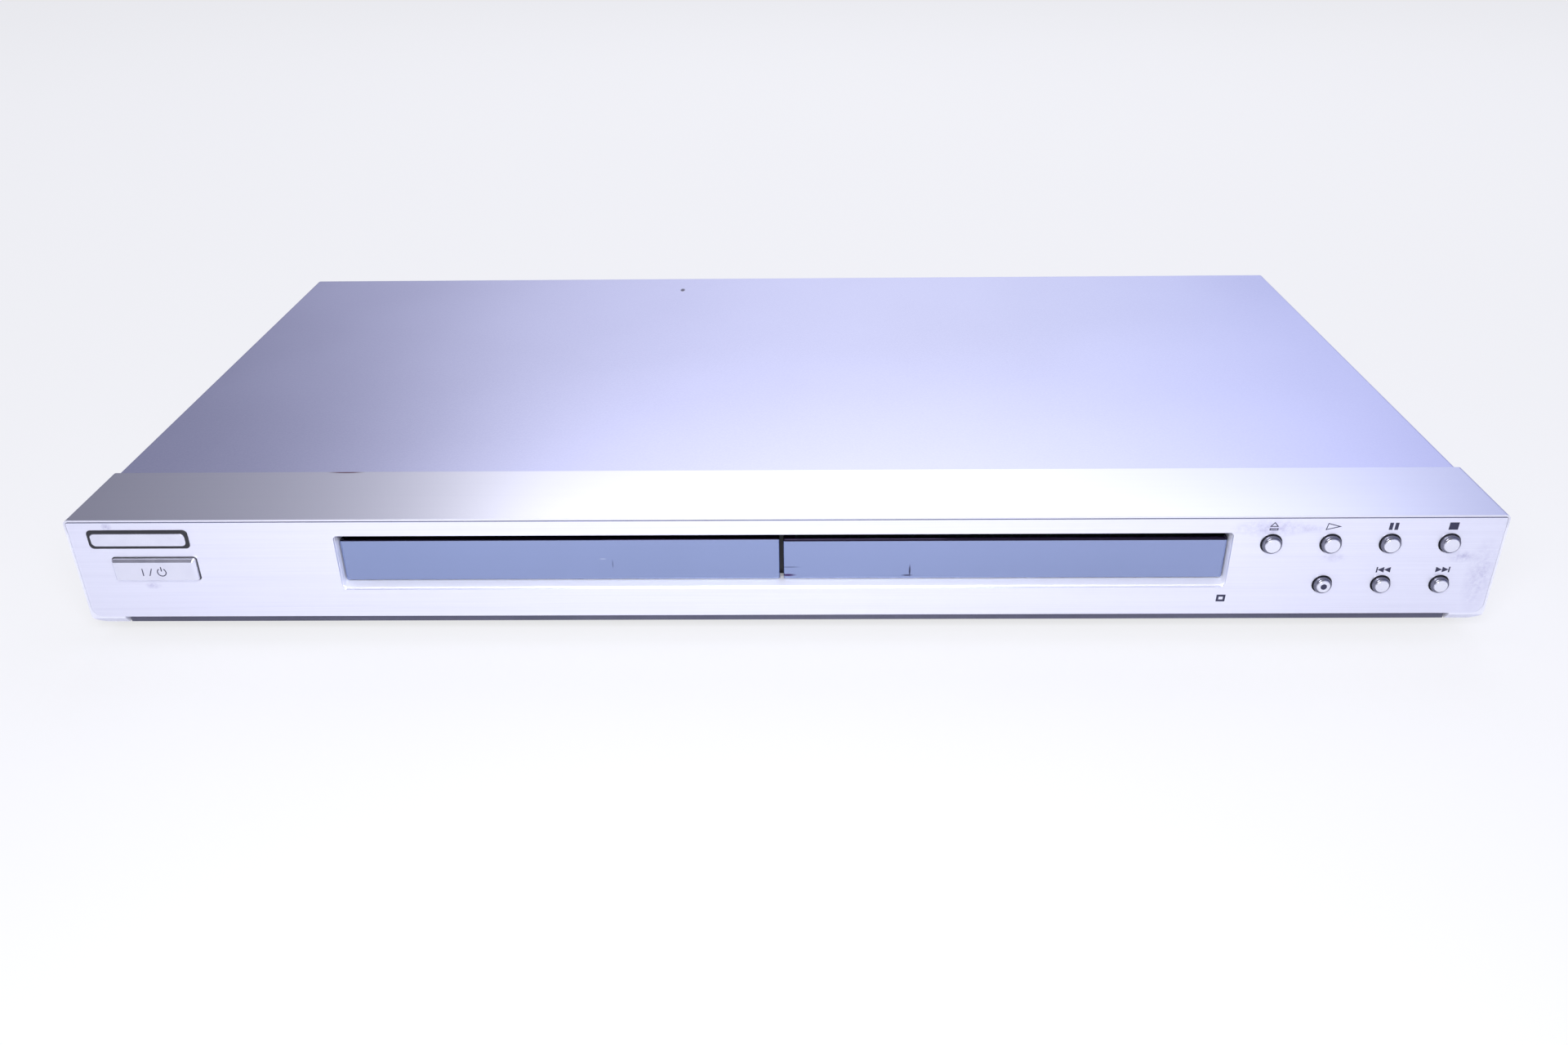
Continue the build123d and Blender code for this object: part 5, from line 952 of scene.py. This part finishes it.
def studio_world():
    """A pale studio: darker to the left and overhead, brightest behind the player, bluish to the right."""
    world = bpy.data.worlds.new("studio")
    bpy.context.scene.world = world
    world.use_nodes = True
    tree = world.node_tree
    back = tree.nodes["Background"]
    rays = tree.nodes.new("ShaderNodeLightPath")
    direction = tree.nodes.new("ShaderNodeTexCoord").outputs["Generated"]
    split = tree.nodes.new("ShaderNodeSeparateXYZ")
    tree.links.new(direction, split.inputs[0])
    side = node(tree, "ShaderNodeMapRange", Value=split.outputs["X"], From_Min=-1.0, From_Max=1.0)
    tint = ramp(tree, side.outputs["Result"], [
        (0.0, (0.30, 0.30, 0.38)),
        (0.22, (0.11, 0.11, 0.16)),
        (0.30, (0.23, 0.23, 0.31)),
        (0.38, (0.46, 0.46, 0.60)),
        (0.46, (0.67, 0.68, 0.85)),
        (0.54, (0.78, 0.79, 0.89)),
        (0.62, (0.71, 0.74, 0.89)),
        (0.70, (0.50, 0.54, 0.86)),
        (0.80, (0.25, 0.28, 0.57)),
        (1.0, (0.34, 0.36, 0.60)),
    ])
    overhead = ramp(tree, split.outputs["Z"], [(0.55, 1.0), (0.85, 0.45), (1.0, 0.35)])
    tint = mix_colour(tree, 1.0, tint, overhead, "MULTIPLY")
    seen = mix_colour(tree, rays.outputs["Is Camera Ray"], tint, (1.0, 1.0, 1.0))
    tree.links.new(seen, back.inputs["Color"])
    back.inputs["Strength"].default_value = 1.0


def soft_lamp(name, place, aim, size, watts, colour):
    """A rectangular lamp at a place, turned to shine at its aim."""
    lamp = bpy.data.lights.new(name, "AREA")
    lamp.shape = "RECTANGLE"
    lamp.size, lamp.size_y = size
    lamp.energy = watts
    lamp.color = colour
    piece = link(bpy.data.objects.new(name, lamp))
    piece.location = place
    piece.rotation_mode = "QUATERNION"
    piece.rotation_quaternion = (Vector(aim) - Vector(place)).to_track_quat("-Z", "Y")


def photo_camera():
    """The photograph's camera, fitted to the player's corners."""
    seen_from = Vector((6.65, -454.5, 224.9)) * MM
    forward = Vector((-0.0149, 0.8784, -0.4778)).normalized()
    right = Vector((0.9999, 0.0112, -0.0105)).normalized()
    upward = right.cross(forward).normalized()
    data = bpy.data.cameras.new("photo_camera")
    data.sensor_width = 36.0
    data.lens = 29.68
    data.clip_start = 0.01
    data.clip_end = 50.0
    camera = link(bpy.data.objects.new("photo_camera", data))
    turn = Matrix((right, upward, -forward)).transposed()
    camera.matrix_world = Matrix.Translation(seen_from) @ turn.to_4x4()
    bpy.context.scene.camera = camera


stage_floor()
studio_world()
soft_lamp("behind_and_above", (0.15, 0.9, 1.1), (0.0, 0.0, 0.0), (1.4, 0.8), 6.0, (0.96, 0.97, 1.0))
soft_lamp("over_the_camera", (-0.01, -0.43, 0.29), (-0.01, -0.12, 0.02), (0.2, 0.12), 1.5, (1.0, 1.0, 1.0))
photo_camera()
bpy.context.scene.view_settings.view_transform = "Standard"
